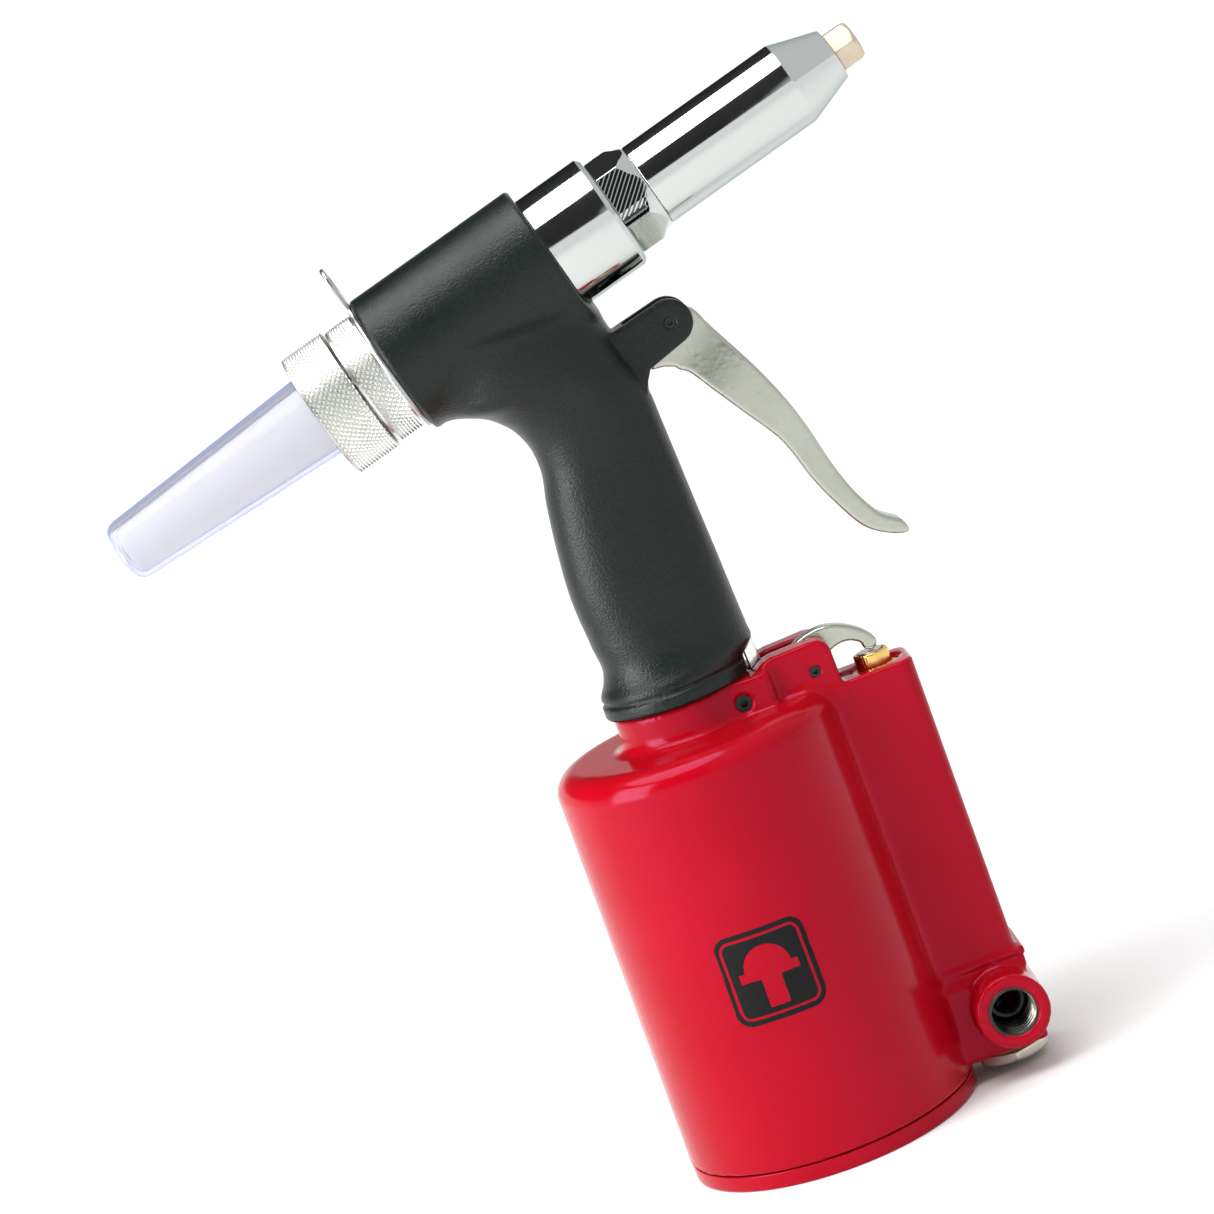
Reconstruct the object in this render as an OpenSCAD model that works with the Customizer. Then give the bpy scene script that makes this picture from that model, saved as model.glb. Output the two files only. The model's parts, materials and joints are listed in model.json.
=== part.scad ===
// Pneumatic blind rivet gun. Millimetres, +Z up, +X towards the nose.
// The origin is the centre of the base cap's bottom face.

/* [Air cylinder] */
// Outer radius of the air cylinder at its base
cyl_r = 42; // [41.5:0.1:43]
// Radius of the air cylinder's bore
cyl_bore_r = 38.4; // [38:0.1:38.8]
// Height of the air cylinder's flat top
cyl_top_z = 121.3; // [121:0.1:121.6]
// Radius of the neck that carries the handle
neck_r = 19; // [18.5:0.1:19.2]

/* [Valve column] */
// Distance of the valve's axis in front of the cylinder's axis
valve_x = 54; // [53.8:0.1:54.2]
// Half width of the valve column
column_half_y = 11.4; // [11:0.1:12]
// Height of the valve column
column_top_z = 120.5; // [120:0.1:120.8]
// Radius of the threaded air inlet
inlet_r = 6.6; // [6:0.1:7]
// Depth of the threaded air inlet
inlet_depth = 14; // [12:0.5:15]

/* [Head] */
// Angle by which the nose points up
head_tilt = 15; // [14.5:0.1:15.5]
// Height at which the head's axis crosses the cylinder's axis
head_z = 255; // [254.5:0.1:255.5]
// Outer radius of the head's casing
head_r = 20.8; // [20.5:0.1:21.2]
// Radius of the hydraulic bore in the head
head_bore_r = 15; // [14.8:0.1:15.2]
// Radius of the chrome barrel
barrel_r = 12.2; // [12:0.1:12.6]
// Radius of the hole for the rivet's mandrel
mandrel_r = 1.7; // [1.2:0.1:1.8]

/* [Trigger linkage] */
// Position of the trigger's pivot along X
trigger_x = 32.8; // [32.6:0.1:33]
// Height of the trigger's pivot
trigger_z = 229.3; // [229.1:0.1:229.5]
// Position of the rocker's pivot along X
rocker_x = 37.4; // [37.3:0.1:37.5]
// Height of the rocker's pivot
rocker_z = 126.2; // [126.1:0.1:126.3]
// Half width of the trigger's finger plate
trigger_half_y = 5.5; // [5:0.1:6.5]

/* [Hidden] */
$fn = 64;
// Clearance of a fixed fit, of a running fit and between pieces that pass each other
fit = 0.03;
run = 0.06;
gap = 0.3;
// Extra length of a cutter past the face that it opens
eps = 1;

// Stations along the head's axis, from the point where it crosses the cylinder's axis
s_bottle_end = -134;
s_ring_rear = -67;
s_ring_front = -53.9;
s_cap_rear = -53.2;
s_cap_front = -44.5;
s_casing_rear = -43.2;
s_bore_rear = -37;
s_bore_front = 2;
s_casing_front = 9.4;
s_collar_front = 30.1;
s_nut_front = 41.3;
s_cone_rear = 88.8;
s_cone_front = 102.6;
s_nose_front = 110;

// Hydraulic side
thread_r = 16.5;
rod_r = 8;
ram_r = 6.5;
sleeve_r = 9.5;
sleeve_in_r = 6.6;
sleeve_bottom_z = 116;
sleeve_top_z = 228;
gland_seat_z = 104;
gland_r = 12;
ram_neck_r = 5;
head_seal_z = [150, 220];
piston_rear = -18.5;
piston_front = -6;
tube_r = 4.22;
tube_in_r = 3.2;
stem_thread_r = 10.9;
nose_bore_r = 9.2;
nut_turn = -12;
nut_af = 25;
hanger_eye_x = -27.3;
hanger_eye_r = 2.6;
hanger_tab_r = 5.2;
ring_r = 18.7;
collar_r = 17;
jaw_case_r = 8.9;
pusher_bore_r = 6.6;

// Jaw chuck, along the head's axis
case_rear = 47;
case_front = 90;
jaw_rear = 76.5;
jaw_front = 88.5;
case_mouth_r = 4.2;
cone_rear = 76;
pusher_rear = 70;
pusher_step = 74.4;
pusher_nose_r = 5.4;
cone_slope = (pusher_bore_r - case_mouth_r) / (case_front - cone_rear);
jaw_gap = 0.8;
jaw_clear = 0.2;
jaw_bore_r = 1.9;

// Handle
grip_bottom_z = 131.5;
neck_top_z = grip_bottom_z - 2 * fit;
front_x = 25;
front_z = 138.9;
front_tilt = 2.43;
strip_t = 3.8;
strip_half_y = 2.8;
arm_half_y = strip_half_y - 1.1;
strip_len = 101;
strip_channel_len = 100;
strip_foot_z = 124.4;
ear_half_y = 7.5;
ear_slot_y = 3.9;
ear_r = 6.4;
// Half width of the trigger's root, and how far from the pivot it starts and stops widening
root_half_y = ear_slot_y - gap;
root_end = 7.4;
wide_start = 23;
pin_r = 1.5;
pin_socket_af = 1.5;
pin_socket_depth = 1.4;
// Crossing point of the trigger's arm and of the rocker's arm with the strip
arm_x = 19.5;
arm_z = 221.8;
foot_x = 23.2;
foot_z = 127.6;
knuckle_r = 1.5;

// Valve
column_bore_r = 7;
spool_r = 2.45;
land_r = 4.5;
button_r = 3.6;
button_top_z = 124.5;
bush_r = 5.1;
bush_top_z = 124.2;
cup_r = 3.95;
plug_af = 19.5;
tip_x = 54.5;
tip_z = 127;
tip_r = 2.2;
lug_half_y = 14.5;
cheek_half_y = column_half_y;
rocker_half_y = 2.6;
rocker_slot_y = 2.95;
port_x = 16;
port_z = 125.3;
port_r = 2.3;
port_socket_af = 2.1;
inlet_x = 56.3;
inlet_z = 19.7;
inlet_face_y = -22.8;
boss_r = 10.4;

// ---- Helpers ----

// Places its children with +Z along the head's axis, at a station on it
module on_head(s = 0)
    translate([0, 0, head_z])
        rotate([0, 90 - head_tilt, 0])
            translate([0, 0, s])
                children();

// Cylinder with +Z along the head's axis, between two stations
module head_cyl(s0, s1, r)
    translate([0, 0, s0])
        cylinder(h = s1 - s0, r = r);

// Hexagonal prism, with a flat facing -Y when flat is true
module hex_prism(z0, z1, af, flat = true)
    translate([0, 0, z0])
        rotate([0, 0, flat ? 0 : 30])
            cylinder(h = z1 - z0, r = af / sqrt(3), $fn = 6);

// O-ring about Z
module o_ring(z, mid_r, wire_r)
    translate([0, 0, z])
        rotate_extrude()
            translate([mid_r, 0])
                circle(r = wire_r, $fn = 24);

// Flat ring about Z, as a cutter for a groove
module groove(z0, z1, r0, r1)
    translate([0, 0, z0])
        difference() {
            cylinder(h = z1 - z0, r = r1);
            translate([0, 0, -eps])
                cylinder(h = z1 - z0 + 2 * eps, r = r0);
        }

// Extrudes a shape drawn in X and Z between two places along Y
module slab(y0, y1)
    translate([0, y1, 0])
        rotate([90, 0, 0])
            linear_extrude(y1 - y0)
                children();

// Cylinder along Y
module y_cyl(x, z, r, y0, y1)
    translate([x, y0, z])
        rotate([-90, 0, 0])
            cylinder(h = y1 - y0, r = r);

// Places its children in the strip's frame: +Z runs up the front of the grip, and x = 0 is the
// grip's front edge
module on_strip()
    translate([front_x, 0, front_z])
        rotate([0, -front_tilt, 0])
            translate([0, 0, -front_z])
                children();

// Closed coil spring about Z
module coil(mid_r, wire_r, z0, z1, turns) {
    sides = 6;
    steps = 14 * turns;
    rise = (z1 - z0 - 2 * wire_r) / steps;
    pts = [for (i = [0 : steps]) for (k = [0 : sides - 1])
        let (a = 360 * turns * i / steps,
             r = mid_r + wire_r * cos(360 * k / sides),
             z = z0 + wire_r + rise * i + wire_r * sin(360 * k / sides))
        [r * cos(a), r * sin(a), z]];
    walls = [for (i = [0 : steps - 1]) for (k = [0 : sides - 1])
        let (a = i * sides + k, b = i * sides + (k + 1) % sides)
        [a, a + sides, b + sides, b]];
    ends = [[for (k = [0 : sides - 1]) k], [for (k = [sides - 1 : -1 : 0]) steps * sides + k]];
    polyhedron(points = pts, faces = concat(walls, ends), convexity = 10);
}

// ---- Handle and trigger linkage ----

// Grip sections from the bottom up: height, rear X, front X, half width, squareness
grip_rings = [
    [grip_bottom_z, -19.6, 20.2, 19.8, 2], [133.2, -20.5, 20.8, 20.6, 2],
    [138.2, -20.3, 22.4, 20.2, 2], [139.2, -19.4, 23, 19.4, 2.05], [143.5, -17.5, 24.7, 17.6, 2.2],
    [152, -17.8, 24.4, 16.4, 2.4], [166, -18.6, 23.8, 15.8, 2.5], [181, -17.4, 23.1, 15.2, 2.5],
    [193, -15.8, 22.6, 15, 2.5], [204, -13.9, 22.1, 15.2, 2.5], [212, -15.2, 21.8, 16, 2.4],
    [218, -18.6, 21.4, 17.2, 2.3], [222, -23.6, 20.6, 18.4, 2.2], [224.6, -31, 19.6, 19.2, 2.2],
    [230, -35, 18, 19.8, 2.2], [240, -36, 16, 20, 2.2]
];

module grip_loft() {
    sides = 28;
    last = len(grip_rings) - 1;
    pts = [for (g = grip_rings) for (k = [0 : sides - 1])
        let (a = 360 * k / sides, mid = (g[1] + g[2]) / 2, half = (g[2] - g[1]) / 2,
             cx = pow(abs(cos(a)), 2 / g[4]) * sign(cos(a)),
             cy = pow(abs(sin(a)), 2 / g[4]) * sign(sin(a)))
        [mid + half * cx, g[3] * cy, g[0]]];
    walls = [for (i = [0 : last - 1]) for (k = [0 : sides - 1])
        let (a = i * sides + k, b = i * sides + (k + 1) % sides)
        each [[a, a + sides, b + sides], [a, b + sides, b]]];
    ends = [[for (k = [0 : sides - 1]) k], [for (k = [sides - 1 : -1 : 0]) last * sides + k]];
    polyhedron(points = pts, faces = concat(walls, ends), convexity = 4);
}

module ear_profile() {
    translate([trigger_x, trigger_z])
        circle(r = ear_r);
    polygon([[6, 214], [20.5, 214], [23.6, 219.2], [trigger_x + 1.9, trigger_z - 6.1],
        [trigger_x - 1.4, trigger_z + 6.24], [17, 232], [14, 232.6], [6, 238]]);
}

module handle_casing() color([0.12, 0.13, 0.125])
    difference() {
        union() {
            on_head() {
                translate([0, 0, s_casing_rear])
                    cylinder(h = s_casing_front - s_casing_rear - 1, r = head_r);
                translate([0, 0, s_casing_front - 1])
                    cylinder(h = 1, r1 = head_r, r2 = head_r - 0.8);
            }
            grip_loft();
            slab(-ear_half_y, ear_half_y) ear_profile();
        }
        on_head() {
            head_cyl(s_bore_rear - eps, s_bore_front + eps, head_bore_r);
            head_cyl(s_casing_rear - eps, s_bore_rear, thread_r);
            head_cyl(s_bore_front, s_casing_front + eps, thread_r);
        }
        // Bore for the hydraulic sleeve, with its seal grooves, and the oil way to the head
        translate([0, 0, grip_bottom_z - eps])
            cylinder(h = sleeve_top_z - grip_bottom_z + eps, r = sleeve_r + fit);
        for (z = head_seal_z)
            groove(z - 1.2, z + 1.2, sleeve_r, sleeve_r + 1.7);
        translate([3, 0, sleeve_top_z - eps])
            cylinder(h = 14, r = 2);
        // Channel for the strip and the notch below it
        on_strip() {
            translate([-strip_t - 2 * gap, -strip_half_y - gap, grip_bottom_z - eps])
                cube([20, 2 * (strip_half_y + gap), strip_channel_len]);
            translate([-strip_t - 2 * gap, -30, grip_bottom_z - 2 * eps])
                cube([20, 60, front_z - grip_bottom_z + 1.4]);
        }
        // Slot between the ears
        slab(-ear_slot_y, ear_slot_y)
            polygon([[15.3, 217], [20, 213], [50, 213], [50, 245], [24, 240], [19.5, 229.5],
                [15.3, 226.5]]);
        y_cyl(trigger_x, trigger_z, pin_r + fit, -30, 30);
    }

module hydraulic_sleeve() color("silver")
    difference() {
        translate([0, 0, sleeve_bottom_z])
            cylinder(h = sleeve_top_z - sleeve_bottom_z - 0.1, r = sleeve_r);
        translate([0, 0, sleeve_bottom_z - eps])
            cylinder(h = sleeve_top_z, r = sleeve_in_r);
    }

module sleeve_seals() color([0.1, 0.1, 0.1])
    for (z = head_seal_z)
        o_ring(z, sleeve_r + 0.84, 0.8);

// Pin along Y with a hex socket in one end
module socket_pin(x, z, half_y)
    difference() {
        y_cyl(x, z, pin_r, -half_y, half_y);
        translate([x, -half_y, z])
            rotate([-90, 0, 0])
                hex_prism(-eps, pin_socket_depth, pin_socket_af);
    }

module trigger_pin() color("dimgray")
    socket_pin(trigger_x, trigger_z, ear_half_y - 0.2);

// Side outline of the lever: down its front edge to the tip and back up its rear edge
module trigger_outline()
    polygon([[39.4, 231], [43.2, 224.1], [47.3, 216.5], [51.5, 208.2], [55.6, 198.6], [58.7, 188.9],
        [61, 179.3], [64.1, 169.6], [68.4, 161.2], [71.6, 158.4], [74.4, 156.2], [75.4, 153],
        [73.6, 152.4], [68.4, 154.6], [63.4, 158.6], [58.7, 166.8], [55, 175.1], [52.2, 184],
        [49.4, 190.3], [43.3, 199.4], [37.8, 207.7], [33.4, 214.3], [30.2, 216.6],
        [trigger_x - 2.6, trigger_z - 6]]);

// Plan of the lever: narrow where it passes between the ears, then widening along its length
module trigger_width()
    translate([trigger_x, 0, trigger_z])
        rotate([0, 58, 0])
            translate([0, 0, -60])
                linear_extrude(120)
                    polygon([[-20, root_half_y], [root_end, root_half_y], [wide_start, trigger_half_y],
                        [100, trigger_half_y], [100, -trigger_half_y], [wide_start, -trigger_half_y],
                        [root_end, -root_half_y], [-20, -root_half_y]]);

module trigger_lever() color([0.8, 0.79, 0.75])
    difference() {
        union() {
            intersection() {
                slab(-trigger_half_y, trigger_half_y) {
                    trigger_outline();
                    translate([trigger_x, trigger_z])
                        circle(r = ear_r - 0.6);
                    // Root between the ears, down to the chin under them
                    polygon([[trigger_x + 5.6, trigger_z + 1], [41.4, 225], [42, 214], [33.4, 214.3],
                        [30.4, 217], [27.4, 218.1], [24, 218.4], [23.9, 219.5], [25.6, 221.4],
                        [trigger_x - 5, trigger_z - 2.8]]);
                }
                trigger_width();
            }
            // Arm that lifts the strip
            slab(-arm_half_y, arm_half_y) {
                translate([arm_x, arm_z])
                    circle(r = knuckle_r);
                polygon([[arm_x, arm_z + knuckle_r], [arm_x, arm_z - knuckle_r], [28, 221.2],
                    [28, 225.4]]);
            }
        }
        y_cyl(trigger_x, trigger_z, pin_r + run, -30, 30);
    }

// Window through the strip for a round knuckle at x, z
module strip_window(x, z)
    slab(-arm_half_y - gap, arm_half_y + gap)
        translate([x, z])
            square([30, 2 * (knuckle_r + gap + 0.15)], center = true);

module trigger_strip() color("gainsboro")
    difference() {
        on_strip()
            translate([-strip_t - gap, -strip_half_y, strip_foot_z])
                cube([strip_t, 2 * strip_half_y, strip_len]);
        strip_window(arm_x, arm_z);
        strip_window(foot_x, foot_z);
    }

// Side outline of the rocker, from its rear arm over its back to the tip
module rocker_outline() {
    polygon([[24, foot_z + 1], [rocker_x - 8, rocker_z + 4.6], [rocker_x, rocker_z + 8.6],
        [43.9, 135.6], [49.1, 134.1], [53.8, 131.1], [56.6, 127.6], [54.5, 126], [52.4, 127.4],
        [49.5, 129.2], [46, 129.2], [42.5, rocker_z + 1], [rocker_x + 2, rocker_z - 4],
        [rocker_x - 2, rocker_z - 4], [24, foot_z - knuckle_r + 0.4]]);
    translate([tip_x, tip_z])
        circle(r = tip_r);
}

module rocker_lever() color([0.78, 0.79, 0.77])
    difference() {
        union() {
            slab(-rocker_half_y, rocker_half_y)
                difference() {
                    rocker_outline();
                    translate([0, 100])
                        square([27.4, 60]);
                }
            slab(-arm_half_y, arm_half_y) {
                translate([foot_x, foot_z])
                    circle(r = knuckle_r);
                polygon([[foot_x, foot_z - knuckle_r], [foot_x, foot_z + knuckle_r],
                    [28, foot_z + 2.6], [28, foot_z - 1.8]]);
            }
        }
        y_cyl(rocker_x, rocker_z, pin_r + run, -30, 30);
    }

module rocker_pin() color("dimgray")
    socket_pin(rocker_x, rocker_z, cheek_half_y - 0.2);

module port_plug() color([0.15, 0.15, 0.15])
    translate([port_x, -lug_half_y + 0.4, port_z])
        rotate([-90, 0, 0])
            difference() {
                cylinder(h = 6, r = port_r);
                hex_prism(-eps, 3, port_socket_af);
            }

// ---- Air cylinder ----

// Outside of the cylinder, its top and its neck, as a half section
module cylinder_section() {
    rim = 6.5;
    wall_top_r = cyl_r - 1;
    polygon(concat(
        [[0, 5], [cyl_r, 5]],
        [for (a = [0 : 15 : 90]) [wall_top_r - rim + rim * cos(a), cyl_top_z - rim + rim * sin(a)]],
        [for (a = [270 : -22.5 : 180]) [neck_r + 3 + 3 * cos(a), cyl_top_z + 3 + 3 * sin(a)]],
        [[neck_r, neck_top_z], [0, neck_top_z]]));
}

module column_plan()
    hull() {
        translate([30, -column_half_y])
            square([1, 2 * column_half_y]);
        for (y = [-1, 1])
            translate([58.9, y * (column_half_y - 5)])
                circle(r = 5, $fn = 32);
    }

module cheek_profile()
    polygon(concat([[25.4, 118], [25.4, 133.4], [27, 133.9], [38.8, 134.3]],
        [for (a = [75 : -25 : 0]) [39.3 + 4 * cos(a), 130.2 + 4 * sin(a)]], [[43.6, 118]]));

module air_cylinder() color([0.72, 0.05, 0.12])
    difference() {
        union() {
            rotate_extrude($fn = 96)
                cylinder_section();
            translate([0, 0, 30])
                linear_extrude(column_top_z - 30)
                    column_plan();
            // Foot of the column, its lip and the inlet boss
            translate([34, -13.2, 6.6])
                cube([30, 26.4, 21.8]);
            translate([40, -12.2, 28])
                cube([25.6, 24.4, 5.4]);
            y_cyl(inlet_x, inlet_z, boss_r, inlet_face_y, 8);
            // Lug for the port plug and cheeks for the rocker
            translate([0, -lug_half_y, 116])
                cube([24.6, 2 * lug_half_y, neck_top_z - 116]);
            slab(-cheek_half_y, cheek_half_y) cheek_profile();
        }
        translate([0, 0, 5 - eps])
            cylinder(h = 103 + eps, r = cyl_bore_r, $fn = 96);
        translate([0, 0, gland_seat_z])
            cylinder(h = sleeve_bottom_z - gland_seat_z, r = gland_r + fit);
        translate([0, 0, gland_seat_z])
            cylinder(h = 40, r = sleeve_r + fit);
        // Valve bore, its bottom thread and the air ways
        translate([valve_x, 0, 10])
            cylinder(h = 120, r = column_bore_r);
        translate([valve_x, 0, 0])
            cylinder(h = 14, r = 8);
        y_cyl(inlet_x, inlet_z, inlet_r, inlet_face_y - eps, inlet_face_y + inlet_depth);
        y_cyl(inlet_x, inlet_z, 3.2, inlet_face_y, 0);
        for (z = [45, 100])
            translate([30, 0, z])
                rotate([0, 90, 0])
                    cylinder(h = 20, r = 2);
        // Rocker slot, strip slot and pins
        slab(-rocker_slot_y, rocker_slot_y)
            polygon([[20.8, 122.6], [28, 120.8], [34, 119.6], [48, 119.6], [48, 140], [20.8, 140]]);
        slab(-strip_half_y - gap, strip_half_y + gap)
            translate([20.8, 122.6])
                square([5.8, 20]);
        y_cyl(rocker_x, rocker_z, pin_r + fit, -30, 30);
        y_cyl(port_x, port_z, port_r + fit, -30, -lug_half_y + 7);
    }

module base_cap() color([0.72, 0.05, 0.12])
    difference() {
        union() {
            cylinder(h = 4.6, r = cyl_r - 0.2, $fn = 96);
            cylinder(h = 9, r = cyl_bore_r - fit, $fn = 96);
        }
        groove(5.8, 8.2, 36.2, cyl_bore_r + eps);
        translate([0, 0, 3])
            cylinder(h = 20, r = 12);
    }

module base_cap_seal() color([0.1, 0.1, 0.1])
    o_ring(7, 37.28, 1.05);

module bumper_ring() color([0.15, 0.15, 0.16])
    translate([0, 0, 9])
        difference() {
            cylinder(h = 4.9, r = 28);
            translate([0, 0, -eps])
                cylinder(h = 20, r = 18);
        }

module air_piston() color("silver")
    difference() {
        union() {
            translate([0, 0, 14])
                cylinder(h = 9, r = cyl_bore_r - 0.2);
            cylinder(h = 30, r = 14);
        }
        translate([0, 0, -eps])
            cylinder(h = 15, r = 20);
        translate([0, 0, 13])
            cylinder(h = 20, r = ram_neck_r + fit);
        groove(17, 20.2, 35.3, cyl_bore_r + eps);
    }

module air_piston_seal() color([0.1, 0.1, 0.1])
    o_ring(18.6, 36.84, 1.46);

module ram_rod() color("gainsboro") {
    translate([0, 0, 30])
        cylinder(h = 92, r = ram_r);
    translate([0, 0, 8])
        cylinder(h = 22.5, r = ram_neck_r);
    translate([0, 0, 124.6])
        cylinder(h = 3, r = ram_r);
    translate([0, 0, 121])
        cylinder(h = 5, r = 5.2);
}

module ram_nut() color("silver")
    difference() {
        hex_prism(9, 13.95, 16);
        cylinder(h = 20, r = ram_neck_r + fit);
    }

module ram_gland() color([0.75, 0.6, 0.3])
    difference() {
        translate([0, 0, gland_seat_z + 0.1])
            cylinder(h = sleeve_bottom_z - gland_seat_z - 0.2, r = gland_r);
        translate([0, 0, 100])
            cylinder(h = 20, r = ram_r + run);
        groove(108.6, 111.4, ram_r, 8.9);
    }

module ram_gland_seal() color([0.1, 0.1, 0.1])
    o_ring(110, ram_r + 1.22, 1.14);

module ram_seal() color([0.1, 0.1, 0.1])
    translate([0, 0, 122.1])
        difference() {
            cylinder(h = 2.4, r = ram_r + 0.04);
            translate([0, 0, -eps])
                cylinder(h = 5, r = 5.2 + fit);
        }

// ---- Air valve ----

sleeve_seal_z = [40, 70, 102];
land_z = [36, 62, 90];

module valve_sleeve() color([0.78, 0.62, 0.28])
    translate([valve_x, 0, 0])
        difference() {
            translate([0, 0, 30])
                cylinder(h = 78, r = column_bore_r - fit);
            translate([0, 0, 20])
                cylinder(h = 100, r = land_r + run);
            for (z = sleeve_seal_z)
                groove(z - 0.9, z + 0.9, 5.4, column_bore_r + eps);
            for (z = [45, 56, 84])
                for (turn = [0, 90])
                    translate([0, 0, z])
                        rotate([90, 0, turn])
                            cylinder(h = 30, r = 1.4, center = true);
        }

module valve_sleeve_seals() color([0.1, 0.1, 0.1])
    translate([valve_x, 0, 0])
        for (z = sleeve_seal_z)
            o_ring(z, 6.2, 0.76);

module valve_spool() color("silver")
    translate([valve_x, 0, 0])
        difference() {
            union() {
                translate([0, 0, 24])
                    cylinder(h = button_top_z - 24, r = spool_r);
                for (z = land_z)
                    translate([0, 0, z])
                        cylinder(h = 7, r = land_r);
                translate([0, 0, 118.5])
                    cylinder(h = button_top_z - 118.5, r = button_r);
            }
            for (z = land_z)
                groove(z + 2.8, z + 4.2, 3.3, land_r + eps);
        }

module valve_spool_seals() color([0.1, 0.1, 0.1])
    translate([valve_x, 0, 0])
        for (z = land_z)
            o_ring(z + 3.5, 3.92, 0.58);

module valve_spring() color("gainsboro")
    translate([valve_x, 0, 0])
        coil(2.9, 0.5, 12.1, 23.9, 6);

module valve_bush() color([0.8, 0.6, 0.2])
    translate([valve_x, 0, 0])
        difference() {
            union() {
                translate([0, 0, column_top_z - eps])
                    cylinder(h = bush_top_z - column_top_z + eps, r = bush_r);
                translate([0, 0, 109])
                    cylinder(h = column_top_z - 109, r = column_bore_r - fit);
            }
            translate([0, 0, 113.6])
                cylinder(h = 20, r = cup_r);
            translate([0, 0, 100])
                cylinder(h = 20, r = spool_r + run);
        }

module valve_plug() color([0.75, 0.73, 0.68])
    translate([valve_x, 0, 0])
        difference() {
            union() {
                hex_prism(1.8, 5.2, plug_af, false);
                translate([0, 0, 5])
                    cylinder(h = 9, r = 8 - fit);
            }
            translate([0, 0, 12])
                cylinder(h = 10, r = 3.8);
        }

module plug_seal() color([0.3, 0.2, 0.12])
    translate([valve_x, 0, 0])
        difference() {
            translate([0, 0, 5.25])
                cylinder(h = 1.3, r = 9.6);
            cylinder(h = 20, r = 8);
        }

// ---- Head ----

module front_gland() color("lightgray")
    on_head()
        difference() {
            union() {
                head_cyl(s_bore_front + 0.1, s_casing_front + 0.1, thread_r - fit);
                head_cyl(s_casing_front + 0.05, s_collar_front - 1.2, collar_r);
                translate([0, 0, s_collar_front - 1.2])
                    cylinder(h = 1.2, r1 = collar_r, r2 = collar_r - 1.2);
            }
            head_cyl(0, 21, rod_r + run);
            head_cyl(20, 40, stem_thread_r + fit);
            groove(8, 11, rod_r, 10.4);
            groove(4.4, 7, 14.4, 20);
        }

module gland_seal() color([0.1, 0.1, 0.1])
    on_head() o_ring(5.7, 15.43, 0.98);

module rod_seal() color([0.1, 0.1, 0.1])
    on_head() o_ring(9.5, 9.22, 1.14);

module pull_piston() color("silver")
    on_head()
        difference() {
            union() {
                head_cyl(piston_rear, piston_front, head_bore_r - run);
                head_cyl(piston_front - 1, case_rear - 0.1, rod_r);
                head_cyl(case_rear - 1, 57, 5.95);
            }
            head_cyl(-30, 70, tube_in_r);
            head_cyl(-30, piston_rear + 8, tube_r + fit);
            groove(-13.8, -10.8, 12.6, 20);
        }

module pull_piston_seal() color([0.1, 0.1, 0.1])
    on_head() o_ring(-12.3, 13.8, 1.14);

module return_spring() color("gainsboro")
    on_head() coil(11.4, 1.25, -49.9, piston_rear - 0.05, 6);

module end_cap() color("lightgray")
    on_head()
        difference() {
            union() {
                head_cyl(s_cap_rear, s_cap_front, 18);
                head_cyl(s_cap_front - 1, s_bore_rear - 0.1, thread_r - fit);
                head_cyl(-62, s_cap_rear + 1, 14);
            }
            head_cyl(-50, 0, 13.2);
            head_cyl(-70, -40, tube_r + run);
            groove(-41.6, -39.2, 14.5, 20);
        }

module end_cap_seal() color([0.1, 0.1, 0.1])
    on_head() o_ring(-40.4, 15.49, 0.94);

module hanger_plate() color("lightgray")
    on_head(s_cap_front + 0.05)
        linear_extrude(1.2)
            difference() {
                union() {
                    circle(r = 19);
                    translate([hanger_eye_x, 0])
                        circle(r = hanger_tab_r);
                    translate([hanger_eye_x, -hanger_tab_r])
                        square([12, 2 * hanger_tab_r]);
                }
                circle(r = thread_r + fit);
                translate([hanger_eye_x, 0])
                    circle(r = hanger_eye_r);
            }

module collector_ring() color("lightgray")
    on_head()
        difference() {
            head_cyl(s_ring_rear, s_ring_front, ring_r);
            head_cyl(-80, 0, 12.95);
            head_cyl(-64.2, 0, 14 + run);
        }

module collector_bottle() color([0.85, 0.88, 0.95, 0.4])
    on_head() {
        wall = 1.6;
        tail_r = 9.35;
        mouth_r = 12.7;
        round_r = 5;
        floor_s = s_bottle_end + wall;
        rotate_extrude()
            polygon(concat(
                [[0, s_bottle_end]],
                [for (a = [270 : 22.5 : 360])
                    [tail_r - round_r + round_r * cos(a), s_bottle_end + round_r + round_r * sin(a)]],
                [[mouth_r, s_ring_rear], [mouth_r, -64], [13.9, -64], [13.9, -62.2],
                 [mouth_r - wall, -62.2], [mouth_r - wall, s_ring_rear]],
                [for (a = [360 : -30 : 270])
                    [tail_r - round_r + (round_r - wall) * cos(a),
                     s_bottle_end + round_r + (round_r - wall) * sin(a)]],
                [[0, floor_s]]));
    }

module guide_tube() color("silver")
    on_head()
        difference() {
            head_cyl(-61, piston_rear + 7.9, tube_r);
            head_cyl(-80, 0, tube_in_r);
        }

module lock_nut() color("lightgray")
    on_head()
        difference() {
            intersection() {
                rotate([0, 0, nut_turn])
                    hex_prism(s_collar_front + 0.05, s_nut_front, nut_af);
                translate([0, 0, s_collar_front])
                    cylinder(h = s_nut_front - s_collar_front, r1 = 19.4, r2 = barrel_r + 0.1);
            }
            head_cyl(0, 60, stem_thread_r + fit);
        }

module nose_housing() color("lightgray")
    on_head()
        difference() {
            union() {
                head_cyl(20.5, s_nut_front + 1, stem_thread_r);
                head_cyl(s_nut_front + 0.05, s_cone_rear, barrel_r);
                translate([0, 0, s_cone_rear])
                    cylinder(h = s_cone_front - s_cone_rear, r1 = barrel_r, r2 = 7.5);
            }
            head_cyl(0, 92, nose_bore_r);
            head_cyl(90, 120, 4.5 + fit);
        }

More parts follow.
